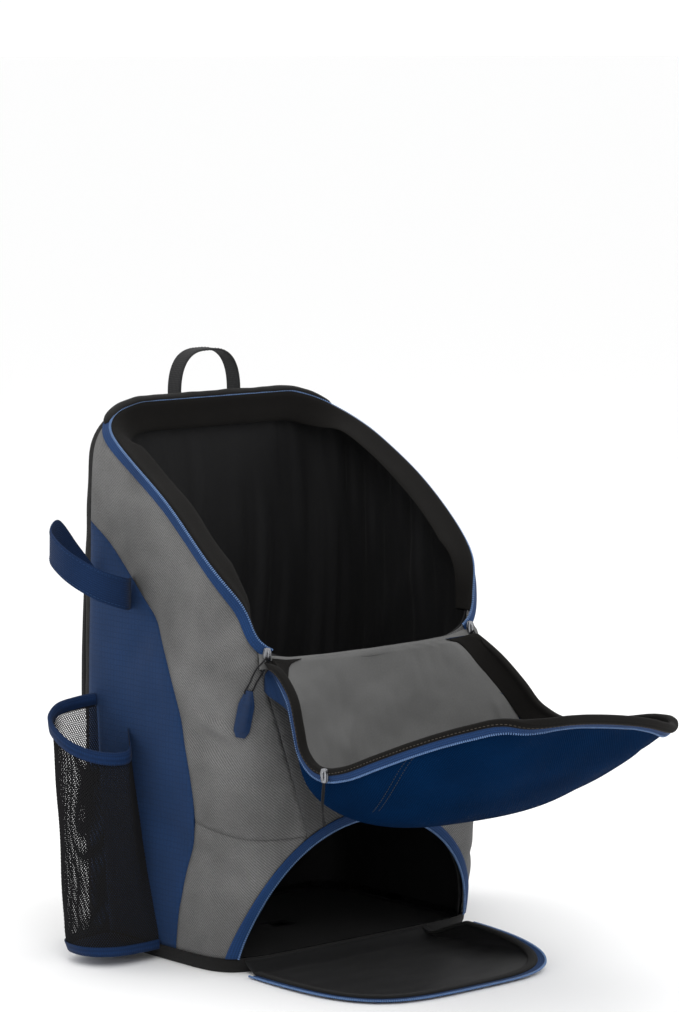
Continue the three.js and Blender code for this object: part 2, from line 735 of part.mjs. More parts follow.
// One face of a band along the rim: the columns between the rim and a margin inside it.
function rimLayer(depth, margin) {
  const rows = [];
  const steps = Array.from({ length: margin + 1 }, (_, k) => k);
  const inner = lastRow - margin;
  for (let i = 0; i < inner; i += 1) rows.push(steps.map((k) => flapAt(i, k, depth)));
  for (let i = inner; i < lastRow; i += 1) {
    rows.push(steps.map((k) => flapAt(Math.min(i, lastRow - k), k, depth)));
  }
  for (let j = 0; j <= lastColumn; j += 1) {
    rows.push(steps.map((k) => flapAt(lastRow - k, Math.min(Math.max(j, k), lastColumn - k), depth)));
  }
  for (let i = lastRow - 1; i >= inner; i -= 1) {
    rows.push(steps.map((k) => flapAt(Math.min(i, lastRow - k), lastColumn - k, depth)));
  }
  for (let i = inner - 1; i >= 0; i -= 1) rows.push(steps.map((k) => flapAt(i, lastColumn - k, depth)));
  return rows;
}

place('front_flap', sheet(flapLayer(0, 0), flapLayer(FLAP_SHELL, 0)), materials.flapNavy);

const liningLow = FLAP_SHELL + 2.5 * GAP;
const liningKept = 1 - (4 * GAP) / (BODY_WIDTH / 2);
const liningFaces = [liningLow, liningLow + LINING].map((depth) => flapLayer(depth, 2, liningKept));
place('flap_lining', sheet(...liningFaces), materials.lining);
place('flap_facing', sheet(rimLayer(liningLow, 2), rimLayer(liningLow + FACING, 2)), materials.facing);
place('flap_zip_tape', sheet(rimLayer(-2 * GAP - TAPE, 1), rimLayer(-2 * GAP, 1)), materials.tape);

// Folded gussets that close the corner between the flap and the body

// One face of a gusset, half its thickness to either side: rows from the hinge to the free edge, each
// from the body over the fold to the flap.
function gussetFace(side, half) {
  const rows = [];
  for (let i = 0; i <= 3; i += 1) {
    const share = i / 3;
    const body = onSide(side, -FRONT_REACH * 0.975, GUSSET_HEIGHT - GUSSET_DROP * share, 2 * GAP).point;
    const columns = side < 0 ? [1, 2] : [lastColumn - 1, lastColumn - 2];
    const [besideTape, further] = columns.map((j) => new THREE.Vector3(...flapAt(i, j, -6 * GAP)));
    const flap = besideTape.lerp(further, 0.08);
    const fold = body.clone().lerp(flap, 0.4);
    fold.x -= side * GUSSET_FOLD * share;
    rows.push([body, fold, flap].map((point) => [point.x + side * half, point.y, point.z]));
  }
  return rows;
}

for (const [label, side] of [['left', -1], ['right', 1]]) {
  const faces = [gussetFace(side, -GUSSET / 2), gussetFace(side, GUSSET / 2)];
  place(`flap_gusset_${label}`, sheet(...faces), materials.flapNavy);
}

// Shoe door, folded down on the floor

// A point of the door: across from -1 to 1, out from the hinge at 0 to the rim at 1. Its right end
// curls up off the floor.
function doorPoint(across, out, rim, raise) {
  const radius = Math.max(Math.abs(across), out, 1e-6);
  const corner = Math.abs(across / radius) ** DOOR_SQUARENESS + (out / radius) ** DOOR_SQUARENESS;
  const reach = Math.max(corner, 1) ** (-1 / DOOR_SQUARENESS);
  const spot = [across * reach, out * reach];
  const right = Math.max(spot[0], 0) ** 3;
  const flare = 0.92 + 0.08 * spot[1];
  const x = (DOOR_HALF_WIDTH - TAPE_WIDTH + rim) * spot[0] * flare * (1 - 0.42 * right);
  const hinge = frontY(x, BASE_HEM) - 1.5 * GAP;
  const distance = (DOOR_LENGTH - TAPE_WIDTH + rim) * spot[1] * (1 - 0.3 * right);
  const fold = Math.max(1 - distance / (BASE_HEM * 1.6), 0) ** 2 * (BASE_HEM - DOOR - 2 * GAP);
  const curl = DOOR_CURL * radius ** 5 * (right + 0.06) * Math.min(2 * out, 1);
  return [x, hinge - distance, GAP + fold + curl + raise];
}

function doorLayer(raise) {
  const grid = [];
  for (let i = 0; i <= 8; i += 1) {
    const row = [];
    for (let j = 0; j <= 12; j += 1) row.push(doorPoint(j / 6 - 1, i / 8, 0, raise));
    grid.push(row);
  }
  return grid;
}

function doorRimLayer(raise) {
  const spots = [];
  for (let i = 1; i < 8; i += 1) spots.push([1, i / 8]);
  for (let j = 12; j >= 0; j -= 1) spots.push([j / 6 - 1, 1]);
  for (let i = 7; i >= 1; i -= 1) spots.push([-1, i / 8]);
  return spots.map(([across, out]) => [2 * GAP, TAPE_WIDTH].map((rim) => doorPoint(across, out, rim, raise)));
}

place('shoe_door', sheet(doorLayer(0), doorLayer(DOOR)), materials.black);
place('shoe_door_tape', sheet(doorRimLayer(0.5), doorRimLayer(0.5 + TAPE)), materials.tape);

// Bat sleeves and straps

function sleeveMiddle(z) {
  return SLEEVE_BACK + SLEEVE_LEAN * (z / SLEEVE_HEIGHT - 1);
}

// The wall line of a sleeve at one level, from its front seam round the bat to its back seam.
function sleeveLine(up, inset, side) {
  const full = columnAt(sleeveLevels, 'up', 'full', up);
  const seam = columnAt(sleeveLevels, 'up', 'seam', up);
  const rows = [{ out: 0, along: seam }, ...sleeveOutline];
  const level = SLEEVE_HEIGHT * up;
  const middle = sleeveMiddle(level);
  const points = rows.map((row) => {
    const y = middle + (SLEEVE_HALF_LENGTH - inset) * row.along * full;
    const root = sideX(y, Math.max(level, 2 * BASE_HEM)) + GAP;
    return new THREE.Vector3(root + (SLEEVE_DEPTH * full - inset) * row.out, y, level);
  });
  return new THREE.CatmullRomCurve3(points).getPoints(SLEEVE_STEPS).map((point) => {
    const slope = (point.y - middle) / SLEEVE_HALF_LENGTH;
    const z = SLEEVE_FLOOR + GAP + (level - SLEEVE_FLOOR - GAP) * (1 + SLEEVE_TILT * slope);
    const least = sideX(point.y, Math.max(level, 2 * BASE_HEM)) + GAP;
    return [side * Math.max(point.x, least), point.y, SLEEVE_FOOT + Math.max(z, SLEEVE_FLOOR + GAP)];
  });
}

function sleeveLayer(inset, side, low, high, steps) {
  const levels = Array.from({ length: steps + 1 }, (_, k) => low + ((high - low) * k) / steps);
  return levels.map((up) => sleeveLine(up, inset, side));
}

// A flat band that follows a line: width lies along the given direction, thickness across it.
function ribbon(line, widthways, width, thick) {
  const rows = line.map((point, index) => {
    const before = line[Math.max(index - 1, 0)];
    const after = line[Math.min(index + 1, line.length - 1)];
    const along = after.clone().sub(before).normalize();
    const across = widthways.clone().addScaledVector(along, -widthways.dot(along)).normalize();
    const out = along.clone().cross(across).normalize();
    const corner = (w, t) => {
      return point.clone().addScaledVector(across, w * width).addScaledVector(out, t * thick).toArray();
    };
    return [[corner(-0.5, 0.5), corner(0.5, 0.5)], [corner(-0.5, -0.5), corner(0.5, -0.5)]];
  });
  return sheet(rows.map((row) => row[0]), rows.map((row) => row[1]));
}

// One edge of a strap's face, from its front seam round the bat to its back seam.
function strapEdge(side, inset, raise) {
  const rows = [{ out: 0, along: STRAP_SEAM }, ...sleeveOutline];
  const points = rows.map((row) => {
    const y = SLEEVE_BACK + (SLEEVE_HALF_LENGTH - inset) * row.along + SLEEVE_HALF_LENGTH * 0.14;
    const rise = ((row.along + 1) / 2) ** 0.5 * Math.min(row.out * 1.4 + 0.1, 1);
    const z = STRAP_HEIGHT + STRAP_RISE * rise + raise;
    return new THREE.Vector3(sideX(y, z) + GAP + (SLEEVE_DEPTH - inset) * row.out, y, z);
  });
  return new THREE.CatmullRomCurve3(points).getPoints(18).map((point) => {
    return [side * Math.max(point.x, sideX(point.y, point.z) + GAP), point.y, point.z];
  });
}

for (const [label, side] of [['left', -1], ['right', 1]]) {
  const bindingLow = 1 - BINDING_HEIGHT / SLEEVE_HEIGHT;
  const wallFaces = [0, SLEEVE_WALL].map((inset) => sleeveLayer(inset, side, 0, 1, SLEEVE_LEVELS));
  place(`bat_sleeve_${label}`, sheet(...wallFaces), materials.mesh);
  const bindingFaces = [-6 * GAP - TAPE, -6 * GAP].map((inset) => sleeveLayer(inset, side, bindingLow, 1, 1));
  place(`sleeve_binding_${label}`, sheet(...bindingFaces), materials.navy);

  const outline = sleeveLine(0, 0, 1).map((point) => [point[0], point[1]]);
  const floor = extruded(outline, SLEEVE_FLOOR).translate(0, 0, SLEEVE_FOOT);
  place(`sleeve_floor_${label}`, floor, materials.navy, side);

  const strapFace = (inset) => [-0.5, 0.5].map((share) => strapEdge(side, inset, share * STRAP_WIDTH));
  place(`bat_strap_${label}`, sheet(strapFace(0), strapFace(WEBBING)), materials.navy);
}

// Haul loop at the top of the back

const loopY = backSeam + TAPE_WIDTH + GAP + LOOP_WIDTH / 2;
const loopLine = [];
for (let k = 0; k <= 14; k += 1) {
  const turn = Math.PI * (k / 14);
  const flat = Math.sign(Math.cos(turn)) * Math.abs(Math.cos(turn)) ** 0.7;
  loopLine.push(new THREE.Vector3(
    (-LOOP_SPAN / 2) * flat,
    loopY,
    BODY_HEIGHT + GAP + WEBBING * 0.6 + (LOOP_RISE - WEBBING) * Math.sin(turn) ** 0.8,
  ));
}
place('haul_loop', ribbon(loopLine, new THREE.Vector3(0, 1, 0), LOOP_WIDTH, WEBBING), materials.webbing);

// Shoulder straps on the back

function behindBack(rows, steps, side, lift) {
  const points = rows.map((row) => {
    const x = side * SHOULDER_SPACING * row.apart;
    const z = row.up * BODY_HEIGHT;
    return new THREE.Vector3(x, backY(x, z) + GAP + lift + SHOULDER_WIDTH * row.out, z);
  });
  return new THREE.CatmullRomCurve3(points).getPoints(steps);
}

for (const [label, side] of [['left', -1], ['right', 1]]) {
  const strap = behindBack(shoulderLine, 11, side, SHOULDER_PAD / 2);
  const tail = behindBack(tailLine, 8, side, WEBBING / 2);
  const across = new THREE.Vector3(1, 0, 0);
  place(`shoulder_strap_${label}`, ribbon(strap, across, SHOULDER_WIDTH, SHOULDER_PAD), materials.black);
  place(`strap_webbing_${label}`, ribbon(tail, across, TAIL_WIDTH, WEBBING), materials.webbing);
}

// Sliders, cords and pull tabs

// A plate whose length hangs down, lying on a face whose direction is given.
function plate(outline, thick, middle, out, lean = new THREE.Vector3(0, 0, 1)) {
  const geometry = extruded(outline, thick);
  geometry.translate(0, 0, -thick / 2);
  const up = lean.clone().addScaledVector(out, -lean.dot(out)).normalize();
  const right = up.clone().cross(out).normalize();
  geometry.applyMatrix4(new THREE.Matrix4().makeBasis(right, up, out).setPosition(middle));
  return geometry;
}

function hexagon(width, length) {
  const shoulder = length * 0.3;
  return [
    [width * 0.28, -length / 2],
    [width / 2, -length / 2 + shoulder * 0.5],
    [width / 2, length / 2 - shoulder],
    [width * 0.22, length / 2],
    [-width * 0.22, length / 2],
    [-width / 2, length / 2 - shoulder],
    [-width / 2, -length / 2 + shoulder * 0.5],
    [-width * 0.28, -length / 2],
  ];
}

function cordBetween(top, bottom, bow) {
  const middle = top.clone().lerp(bottom, 0.5).add(bow);
  const path = new THREE.CatmullRomCurve3([top, middle, bottom]);
  const round = new THREE.Shape().absarc(0, 0, CORD / 2, 0, 2 * Math.PI);
  const settings = { extrudePath: path, steps: 4, curveSegments: 4, bevelEnabled: false };
  return new THREE.ExtrudeGeometry(round, settings);
}

const sliderY = -FRONT_REACH * 0.972;
const sliderZ = FOLD_HEIGHT + TAPE_WIDTH;
for (const [label, side] of [['left', -1], ['right', 1]]) {
  const seat = GAP + TAPE + GAP + SLIDER_THICK / 2;
  const body = onSide(side, sliderY, sliderZ, seat);
  const slider = plate(hexagon(SLIDER_WIDTH, SLIDER_LENGTH), SLIDER_THICK, body.point, body.out);
  place(`main_slider_${label}`, slider, materials.metal);
  const cordTop = onSide(side, sliderY, sliderZ - SLIDER_LENGTH / 2 - 3 * GAP, seat).point;
  const cordEnd = onSide(side, sliderY * 0.965, sliderZ - SLIDER_LENGTH / 2 - GAP - CORD_LENGTH, seat);
  const bow = cordEnd.out.clone().multiplyScalar(CORD);
  place(`pull_cord_${label}`, cordBetween(cordTop, cordEnd.point, bow), materials.cord);
  const tabSeat = onSide(side, sliderY * 0.95, cordEnd.point.z - TAB_LENGTH / 2, seat);
  const toTab = tabSeat.point.clone().sub(cordEnd.point).normalize();
  const tabMiddle = cordEnd.point.clone().addScaledVector(toTab, TAB_LENGTH / 2 + 3 * GAP);
  const tabShape = plate(hexagon(TAB_WIDTH, TAB_LENGTH), TAB_THICK, tabMiddle, tabSeat.out, toTab.negate());
  place(`pull_tab_${label}`, tabShape, materials.tab);
}

const lowAt = 0.49;
const rimPoint = flapPoint(lowAt, -1);
const rimOut = flapInward(lowAt, -1).negate();
const flapSliderPoint = rimPoint.clone().addScaledVector(rimOut, GAP + TAPE + GAP + SLIDER_THICK / 2);
flapSliderPoint.z -= TAPE_WIDTH / 2;
const flapSliderShape = plate(hexagon(SLIDER_WIDTH, SLIDER_LENGTH), SLIDER_THICK, flapSliderPoint, rimOut);
place('flap_slider', flapSliderShape, materials.metal);
const flapCordTop = flapSliderPoint.clone().add(new THREE.Vector3(0, 0, -SLIDER_LENGTH / 2 - GAP));
const flapCordEnd = flapCordTop.clone().add(new THREE.Vector3(0, 0, -CORD_LENGTH * 1.6));
const flapCord = cordBetween(flapCordTop, flapCordEnd, rimOut.clone().multiplyScalar(CORD * 0.6));
place('flap_pull_cord', flapCord, materials.cord);

export default bag;
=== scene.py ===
# Baseball gear backpack, shown open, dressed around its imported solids. All sizes are in metres.
# +Z is up and the front faces -Y.
import math

import bpy
import numpy as np
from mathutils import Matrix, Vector, geometry


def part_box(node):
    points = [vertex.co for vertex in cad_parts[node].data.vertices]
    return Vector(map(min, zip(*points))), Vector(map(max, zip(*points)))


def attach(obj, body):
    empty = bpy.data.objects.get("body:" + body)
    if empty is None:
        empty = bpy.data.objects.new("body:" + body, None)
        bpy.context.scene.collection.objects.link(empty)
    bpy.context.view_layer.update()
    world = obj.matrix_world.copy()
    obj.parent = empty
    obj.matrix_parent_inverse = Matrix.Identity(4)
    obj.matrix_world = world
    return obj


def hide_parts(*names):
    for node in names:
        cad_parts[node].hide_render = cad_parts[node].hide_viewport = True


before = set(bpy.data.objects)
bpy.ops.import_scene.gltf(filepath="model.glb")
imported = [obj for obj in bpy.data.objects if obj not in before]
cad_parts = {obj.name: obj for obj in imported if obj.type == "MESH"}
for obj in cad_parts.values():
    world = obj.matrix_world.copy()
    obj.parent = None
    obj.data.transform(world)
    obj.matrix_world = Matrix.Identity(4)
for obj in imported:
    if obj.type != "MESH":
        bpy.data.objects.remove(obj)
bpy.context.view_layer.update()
print("frame loaded:", len(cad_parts), "solids")

# Camera at the photograph's angle
cameraValues = {"place": (-2.3215, -2.7628, 0.8459), "tilt": 83.1644, "turn": -41.0, "lens": 135.32}


def makeCamera():
    data = bpy.data.cameras.new("viewCamera")
    data.lens = cameraValues["lens"]
    data.sensor_width = 36
    data.clip_end = 1000
    camera = bpy.data.objects.new("viewCamera", data)
    camera.location = cameraValues["place"]
    camera.rotation_euler = (math.radians(cameraValues["tilt"]), 0, math.radians(cameraValues["turn"]))
    bpy.context.scene.collection.objects.link(camera)
    bpy.context.scene.camera = camera


makeCamera()


# Curves and tables
def tableAt(rows, column, at):
    # value of a column at a place, by a smooth curve through the rows
    keys, values = rows[:, 0], rows[:, column]
    at = np.asarray(at, float)
    low = np.clip(np.searchsorted(keys[1:], at, side="left"), 0, len(keys) - 2)
    before, high, after = np.maximum(low - 1, 0), low + 1, np.minimum(low + 2, len(keys) - 1)
    span = keys[high] - keys[low]
    share = np.clip((at - keys[low]) / span, 0, 1)
    lowSlope = (values[high] - values[before]) / (keys[high] - keys[before])
    highSlope = (values[after] - values[low]) / (keys[after] - keys[low])
    square, cube = share**2, share**3
    return (
        (2 * cube - 3 * square + 1) * values[low]
        + (cube - 2 * square + share) * span * lowSlope
        + (3 * square - 2 * cube) * values[high]
        + (cube - square) * span * highSlope
    )


def evenSpline(points, steps):
    # uniform spline through a few points, as the seams are drawn
    points = np.asarray(points, float)
    last = len(points) - 1
    place = np.linspace(0, last, steps + 1)
    low = np.minimum(place.astype(int), last - 1)
    share = (place - low)[:, None]
    p0, p1 = points[np.maximum(low - 1, 0)], points[low]
    p2, p3 = points[low + 1], points[np.minimum(low + 2, last)]
    v0, v1 = (p2 - p0) / 2, (p3 - p1) / 2
    return (2 * p1 - 2 * p2 + v0 + v1) * share**3 + (-3 * p1 + 3 * p2 - 2 * v0 - v1) * share**2 + v0 * share + p1


def roundSpline(points, steps):
    # centripetal spline, which the straps and sleeves follow
    points = np.asarray(points, float)
    full = np.vstack([2 * points[0] - points[1], points, 2 * points[-1] - points[-2]])
    last = len(points) - 1
    place = np.linspace(0, last, steps + 1)
    low = np.minimum(place.astype(int), last - 1)
    share = (place - low)[:, None]
    p0, p1, p2, p3 = (full[low + k] for k in range(4))
    gap = lambda a, b: np.maximum(((b - a) ** 2).sum(1) ** 0.25, 1e-4)[:, None]
    d0, d1, d2 = gap(p0, p1), gap(p1, p2), gap(p2, p3)
    t1 = ((p1 - p0) / d0 - (p2 - p0) / (d0 + d1) + (p2 - p1) / d1) * d1
    t2 = ((p2 - p1) / d1 - (p3 - p1) / (d1 + d2) + (p3 - p2) / d2) * d1
    return p1 + t1 * share + (-3 * p1 + 3 * p2 - 2 * t1 - t2) * share**2 + (2 * p1 - 2 * p2 + t1 + t2) * share**3


def farAlong(line):
    # how far along a line each of its points lies
    return np.concatenate([[0], np.cumsum(np.linalg.norm(np.diff(line, axis=0), axis=1))])


def evenly(line, spacing):
    # the same line with points a spacing apart
    line = np.asarray(line, float)
    far = farAlong(line)
    count = max(int(round(far[-1] / spacing)), 2)
    at = np.linspace(0, far[-1], count + 1)
    return np.column_stack([np.interp(at, far, line[:, k]) for k in range(line.shape[1])])


def unit(vectors):
    return vectors / np.maximum(np.linalg.norm(vectors, axis=-1, keepdims=True), 1e-12)


def alongLine(line):
    return unit(np.gradient(line, axis=0))


def ripple(points, size, seed):
    # smooth unevenness from -1 to 1, the same each run
    random = np.random.RandomState(seed)
    total = np.zeros(len(points))
    for _ in range(7):
        wave = unit(random.normal(size=3)) * (2 * math.pi / size) * random.uniform(0.6, 1.5)
        total += np.sin(points @ wave + random.uniform(0, 6.3))
    return total / 4.2


# Mesh making
def addPiece(name, points, faces, material, uv=None, smooth=True, stands=(), slot=None):
    mesh = bpy.data.meshes.new(name)
    points = np.asarray(points, float).reshape(-1, 3)
    mesh.from_pydata(points.tolist(), [], [list(map(int, f)) for f in faces])
    mesh.materials.append(material)
    layer = mesh.uv_layers.new(name="cloth")
    corners = np.zeros(len(mesh.loops), int)
    mesh.loops.foreach_get("vertex_index", corners)
    uv = np.zeros((len(points), 2)) if uv is None else np.asarray(uv, float).reshape(-1, 2)
    layer.data.foreach_set("uv", uv[corners].astype(np.float32).ravel())
    mesh.polygons.foreach_set("use_smooth", [smooth] * len(mesh.polygons))
    mesh.update()
    piece = bpy.data.objects.new(name, mesh)
    bpy.context.scene.collection.objects.link(piece)
    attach(piece, "root")
    if stands:
        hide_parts(*stands)
    return piece


def gridFaces(rows, columns, start=0, turned=False, ring=False):
    # faces of a grid of points, whose last row may meet its first
    i, j = np.meshgrid(np.arange(rows if ring else rows - 1), np.arange(columns - 1), indexing="ij")
    here, there = i.ravel() * columns + j.ravel(), (i.ravel() + 1) % rows * columns + j.ravel()
    faces = np.column_stack([here, there, there + 1, here + 1]) + start
    return faces[:, ::-1] if turned else faces


def edgeFaces(rows, columns, start):
    # closes the rim between two matching grids
    a = np.concatenate(
        [
            np.arange(columns),
            np.arange(1, rows) * columns + columns - 1,
            (rows - 1) * columns + np.arange(columns - 2, -1, -1),
            np.arange(rows - 2, 0, -1) * columns,
        ]
    )
    b = np.roll(a, -1)
    return np.column_stack([a, b, b + start, a + start])


def sheetPiece(name, outer, inner, plan, material, stands=(), slot=None):
    # a closed cloth sheet between two grids of points
    rows, columns = outer.shape[:2]
    count = rows * columns
    faces = np.vstack(
        [gridFaces(rows, columns), gridFaces(rows, columns, count, True), edgeFaces(rows, columns, count)]
    )
    return addPiece(
        name, np.vstack([outer, inner]), faces, material, np.vstack([plan, plan]), stands=stands, slot=slot
    )


def ringPiece(name, top, under, plan, material, stands=(), slot=None):
    # a closed sheet between two grids of points that go round, the first one facing out
    rows, columns = top.shape[:2]
    count = rows * columns
    here = np.arange(rows) * columns
    there = np.roll(here, -1)
    last = columns - 1
    first = np.column_stack([there, here, here + count, there + count])
    second = np.column_stack([here, there, there + count, here + count]) + last
    faces = np.vstack(
        [gridFaces(rows, columns, 0, False, True), gridFaces(rows, columns, count, True, True), first, second]
    )
    return addPiece(name, np.vstack([top, under]), faces, material, np.vstack([plan, plan]), stands=stands, slot=slot)


def tubeFaces(rows, columns):
    # faces of a closed band, each row of its grid being one closed outline
    i, j = np.meshgrid(np.arange(rows - 1), np.arange(columns), indexing="ij")
    i, j = i.ravel() * columns, j.ravel()
    k = (j + 1) % columns
    faces = [tuple(f) for f in np.column_stack([i + j, i + k, i + columns + k, i + columns + j])]
    return faces + [tuple(range(columns))[::-1], tuple((rows - 1) * columns + np.arange(columns))]


def tubePiece(name, grid, plan, material, stands=(), slot=None):
    return addPiece(name, grid, tubeFaces(*grid.shape[:2]), material, plan, stands=stands, slot=slot)


def outwardFaces(points, faces):
    # turns the faces of a closed form so that they point out
    middle = points.mean(0)
    total = 0
    for f in faces:
        corner = points[list(f)] - middle
        for k in range(1, len(f) - 1):
            total += corner[0] @ np.cross(corner[k], corner[k + 1])
    return [tuple(f)[::-1] for f in faces] if total < 0 else faces


def bandPiece(name, grid, plan, material, stands=(), slot=None, side=None):
    # a closed band from rows of closed outlines, for one side or the other
    points = grid.reshape(-1, 3)
    faces = tubeFaces(*grid.shape[:2])
    if side == "left":
        points = points * (-1, 1, 1)
    faces = outwardFaces(points, faces)
    return addPiece(name, points, faces, material, plan.reshape(-1, 2), stands=stands, slot=slot)


def lengthPlan(grid, girth):
    return flatPlan(farAlong(grid.mean(1)), girth)


def gridNormals(grid):
    return unit(np.cross(np.gradient(grid, axis=0), np.gradient(grid, axis=1)))


def flatPlan(rows, columns):
    # cloth coordinates from a distance for each row and each column
    return np.stack(np.meshgrid(rows, columns, indexing="ij"), axis=-1)


def gridPlan(grid):
    # flat measures of a grid, from the lengths of its rows and columns
    down = np.concatenate([[0], np.cumsum(np.linalg.norm(np.diff(grid, axis=0), axis=2).mean(1))])
    across = np.linalg.norm(np.diff(grid, axis=1), axis=2).mean(0)
    across = np.concatenate([[0], np.cumsum(across)])
    return flatPlan(down, across)[..., ::-1]


def joinPieces(shapes):
    # one list of points and faces out of several
    points, faces, start = [], [], 0
    for shapePoints, shapeFaces in shapes:
        points.append(shapePoints)
        faces += [[v + start for v in f] for f in shapeFaces]
        start += len(shapePoints)
    return np.vstack(points), faces


def addShapes(name, shapes, material, stands=(), slot=None, smooth=True):
    return addPiece(name, *joinPieces(shapes), material, smooth=smooth, stands=stands, slot=slot)


# Cloth finishes
def shader(name, roughness, sheen=0.0, metal=0.0, shine=0.14):
    material = bpy.data.materials.new(name)
    material.use_nodes = True
    nodes, links = material.node_tree.nodes, material.node_tree.links
    surface = nodes["Principled BSDF"]
    surface.inputs["Roughness"].default_value = roughness
    surface.inputs["Metallic"].default_value = metal
    surface.inputs["Sheen Weight"].default_value = sheen
    surface.inputs["Sheen Roughness"].default_value = 0.5
    surface.inputs["Specular IOR Level"].default_value = 0.5 if metal else shine
    return material, nodes, links, surface


def mathNode(nodes, links, operation, first, second=None):
    node = nodes.new("ShaderNodeMath")
    node.operation = operation
    for socket, value in zip(node.inputs, (first, second)):
        if value is None:
            continue
        if isinstance(value, (int, float)):
            socket.default_value = value
        else:
            links.new(value, socket)
    return node.outputs[0]


def colourRamp(nodes, links, factor, low, high, start=0.0, end=1.0):
    node = nodes.new("ShaderNodeValToRGB")
    node.color_ramp.elements[0].position = start
    node.color_ramp.elements[1].position = end
    node.color_ramp.elements[0].color = (*low, 1)
    node.color_ramp.elements[1].color = (*high, 1)
    links.new(factor, node.inputs[0])
    return node.outputs[0]


def bands(nodes, links, plan, direction, pitch):
    # threads side by side: a smooth wave from 0 to 1 across a direction of the cloth
    x, y = direction
    dot = nodes.new("ShaderNodeVectorMath")
    dot.operation = "DOT_PRODUCT"
    links.new(plan, dot.inputs[0])
    dot.inputs[1].default_value = (x * 2 * math.pi / pitch, y * 2 * math.pi / pitch, 0)
    wave = mathNode(nodes, links, "SINE", dot.outputs["Value"])
    half = mathNode(nodes, links, "MULTIPLY", wave, 0.5)
    return mathNode(nodes, links, "ADD", half, 0.5)


def noise(nodes, links, plan, size, detail=2.0, rough=0.5):
    node = nodes.new("ShaderNodeTexNoise")
    node.inputs["Scale"].default_value = 1 / size
    node.inputs["Detail"].default_value = detail
    node.inputs["Roughness"].default_value = rough
    links.new(plan, node.inputs["Vector"])
    return node.outputs[0]


def bump(nodes, links, height, distance, surface, strength=1.0):
    node = nodes.new("ShaderNodeBump")
    node.inputs["Strength"].default_value = strength
    node.inputs["Distance"].default_value = distance
    links.new(height, node.inputs["Height"])
    links.new(node.outputs[0], surface.inputs["Normal"])


def scaled(colour, share):
    return tuple(min(c * share, 1) for c in colour)


clothWeaves = {
    # weave: threads across, direction one, direction two
    "twill": (0.0021, (0.62, 0.78), (-0.8, 0.6)),
    "plain": (0.0011, (1, 0), (0, 1)),
    "fine": (0.0008, (1, 0), (0, 1)),
    "ribbed": (0.0021, (0, 1), (1, 0)),
}


def clothMaterial(
    name, colour, weave="twill", roughness=0.82, sheen=0.25, depth=0.00022, mottle=0.12, grid=0.0, shine=0.14
):
    material, nodes, links, surface = shader(name, roughness, sheen, 0.0, shine)
    plan = nodes.new("ShaderNodeUVMap")
    plan.uv_map = "cloth"
    plan = plan.outputs[0]
    pitch, one, two = clothWeaves[weave]
    first = bands(nodes, links, plan, one, pitch)
    second = bands(nodes, links, plan, two, pitch * (0.8 if weave == "twill" else 1.0))
    threads = mathNode(nodes, links, "MULTIPLY", first, mathNode(nodes, links, "ADD", second, 0.35))
    place = nodes.new("ShaderNodeTexCoord").outputs["Object"]
    wear = noise(nodes, links, place, 0.06, 4)
    speckle = noise(nodes, links, plan, 0.0016, 1)
    shade = mathNode(nodes, links, "MULTIPLY", threads, 0.5)
    shade = mathNode(nodes, links, "ADD", shade, mathNode(nodes, links, "MULTIPLY", speckle, 0.5))
    tint = colourRamp(
        nodes, links, shade, scaled(colour, 1 - 1.6 * mottle), scaled(colour, 1 + 1.6 * mottle), 0.2, 0.9
    )
    mix = nodes.new("ShaderNodeMix")
    mix.data_type = "RGBA"
    mix.blend_type = "MULTIPLY"
    mix.inputs["Factor"].default_value = 1
    links.new(tint, mix.inputs["A"])
    light = colourRamp(nodes, links, wear, (1 - mottle,) * 3, (1 + mottle * 0.6,) * 3, 0.3, 0.7)
    links.new(light, mix.inputs["B"])
    result = mix.outputs["Result"]
    height = threads
    if grid:
        # thicker threads of a ripstop cloth, one way and the other
        lines = []
        for direction in ((1, 0), (0, 1)):
            line = bands(nodes, links, plan, direction, grid)
            lines.append(mathNode(nodes, links, "GREATER_THAN", line, 0.93))
        net = mathNode(nodes, links, "MAXIMUM", lines[0], lines[1])
        darker = nodes.new("ShaderNodeMix")
        darker.data_type = "RGBA"
        links.new(mathNode(nodes, links, "MULTIPLY", net, 0.4), darker.inputs["Factor"])
        links.new(result, darker.inputs["A"])
        darker.inputs["B"].default_value = (*scaled(colour, 0.55), 1)
        result = darker.outputs["Result"]
        height = mathNode(nodes, links, "ADD", height, net)
    links.new(result, surface.inputs["Base Color"])
    bump(nodes, links, height, depth, surface, 0.8)
    return material


def plainMaterial(name, colour, roughness=0.5, metal=0.0, grain=0.0008):
    material, nodes, links, surface = shader(name, roughness, 0, metal, 0.2)
    place = nodes.new("ShaderNodeTexCoord").outputs["Object"]
    worn = noise(nodes, links, place, 0.004, 3)
    tint = colourRamp(nodes, links, worn, scaled(colour, 0.86), scaled(colour, 1.12), 0.3, 0.7)
    links.new(tint, surface.inputs["Base Color"])
    rough = mathNode(nodes, links, "MULTIPLY", worn, 0.3)
    links.new(mathNode(nodes, links, "ADD", rough, roughness - 0.15), surface.inputs["Roughness"])
    bump(nodes, links, noise(nodes, links, place, grain, 2), 0.00005, surface, 0.5)
    return material


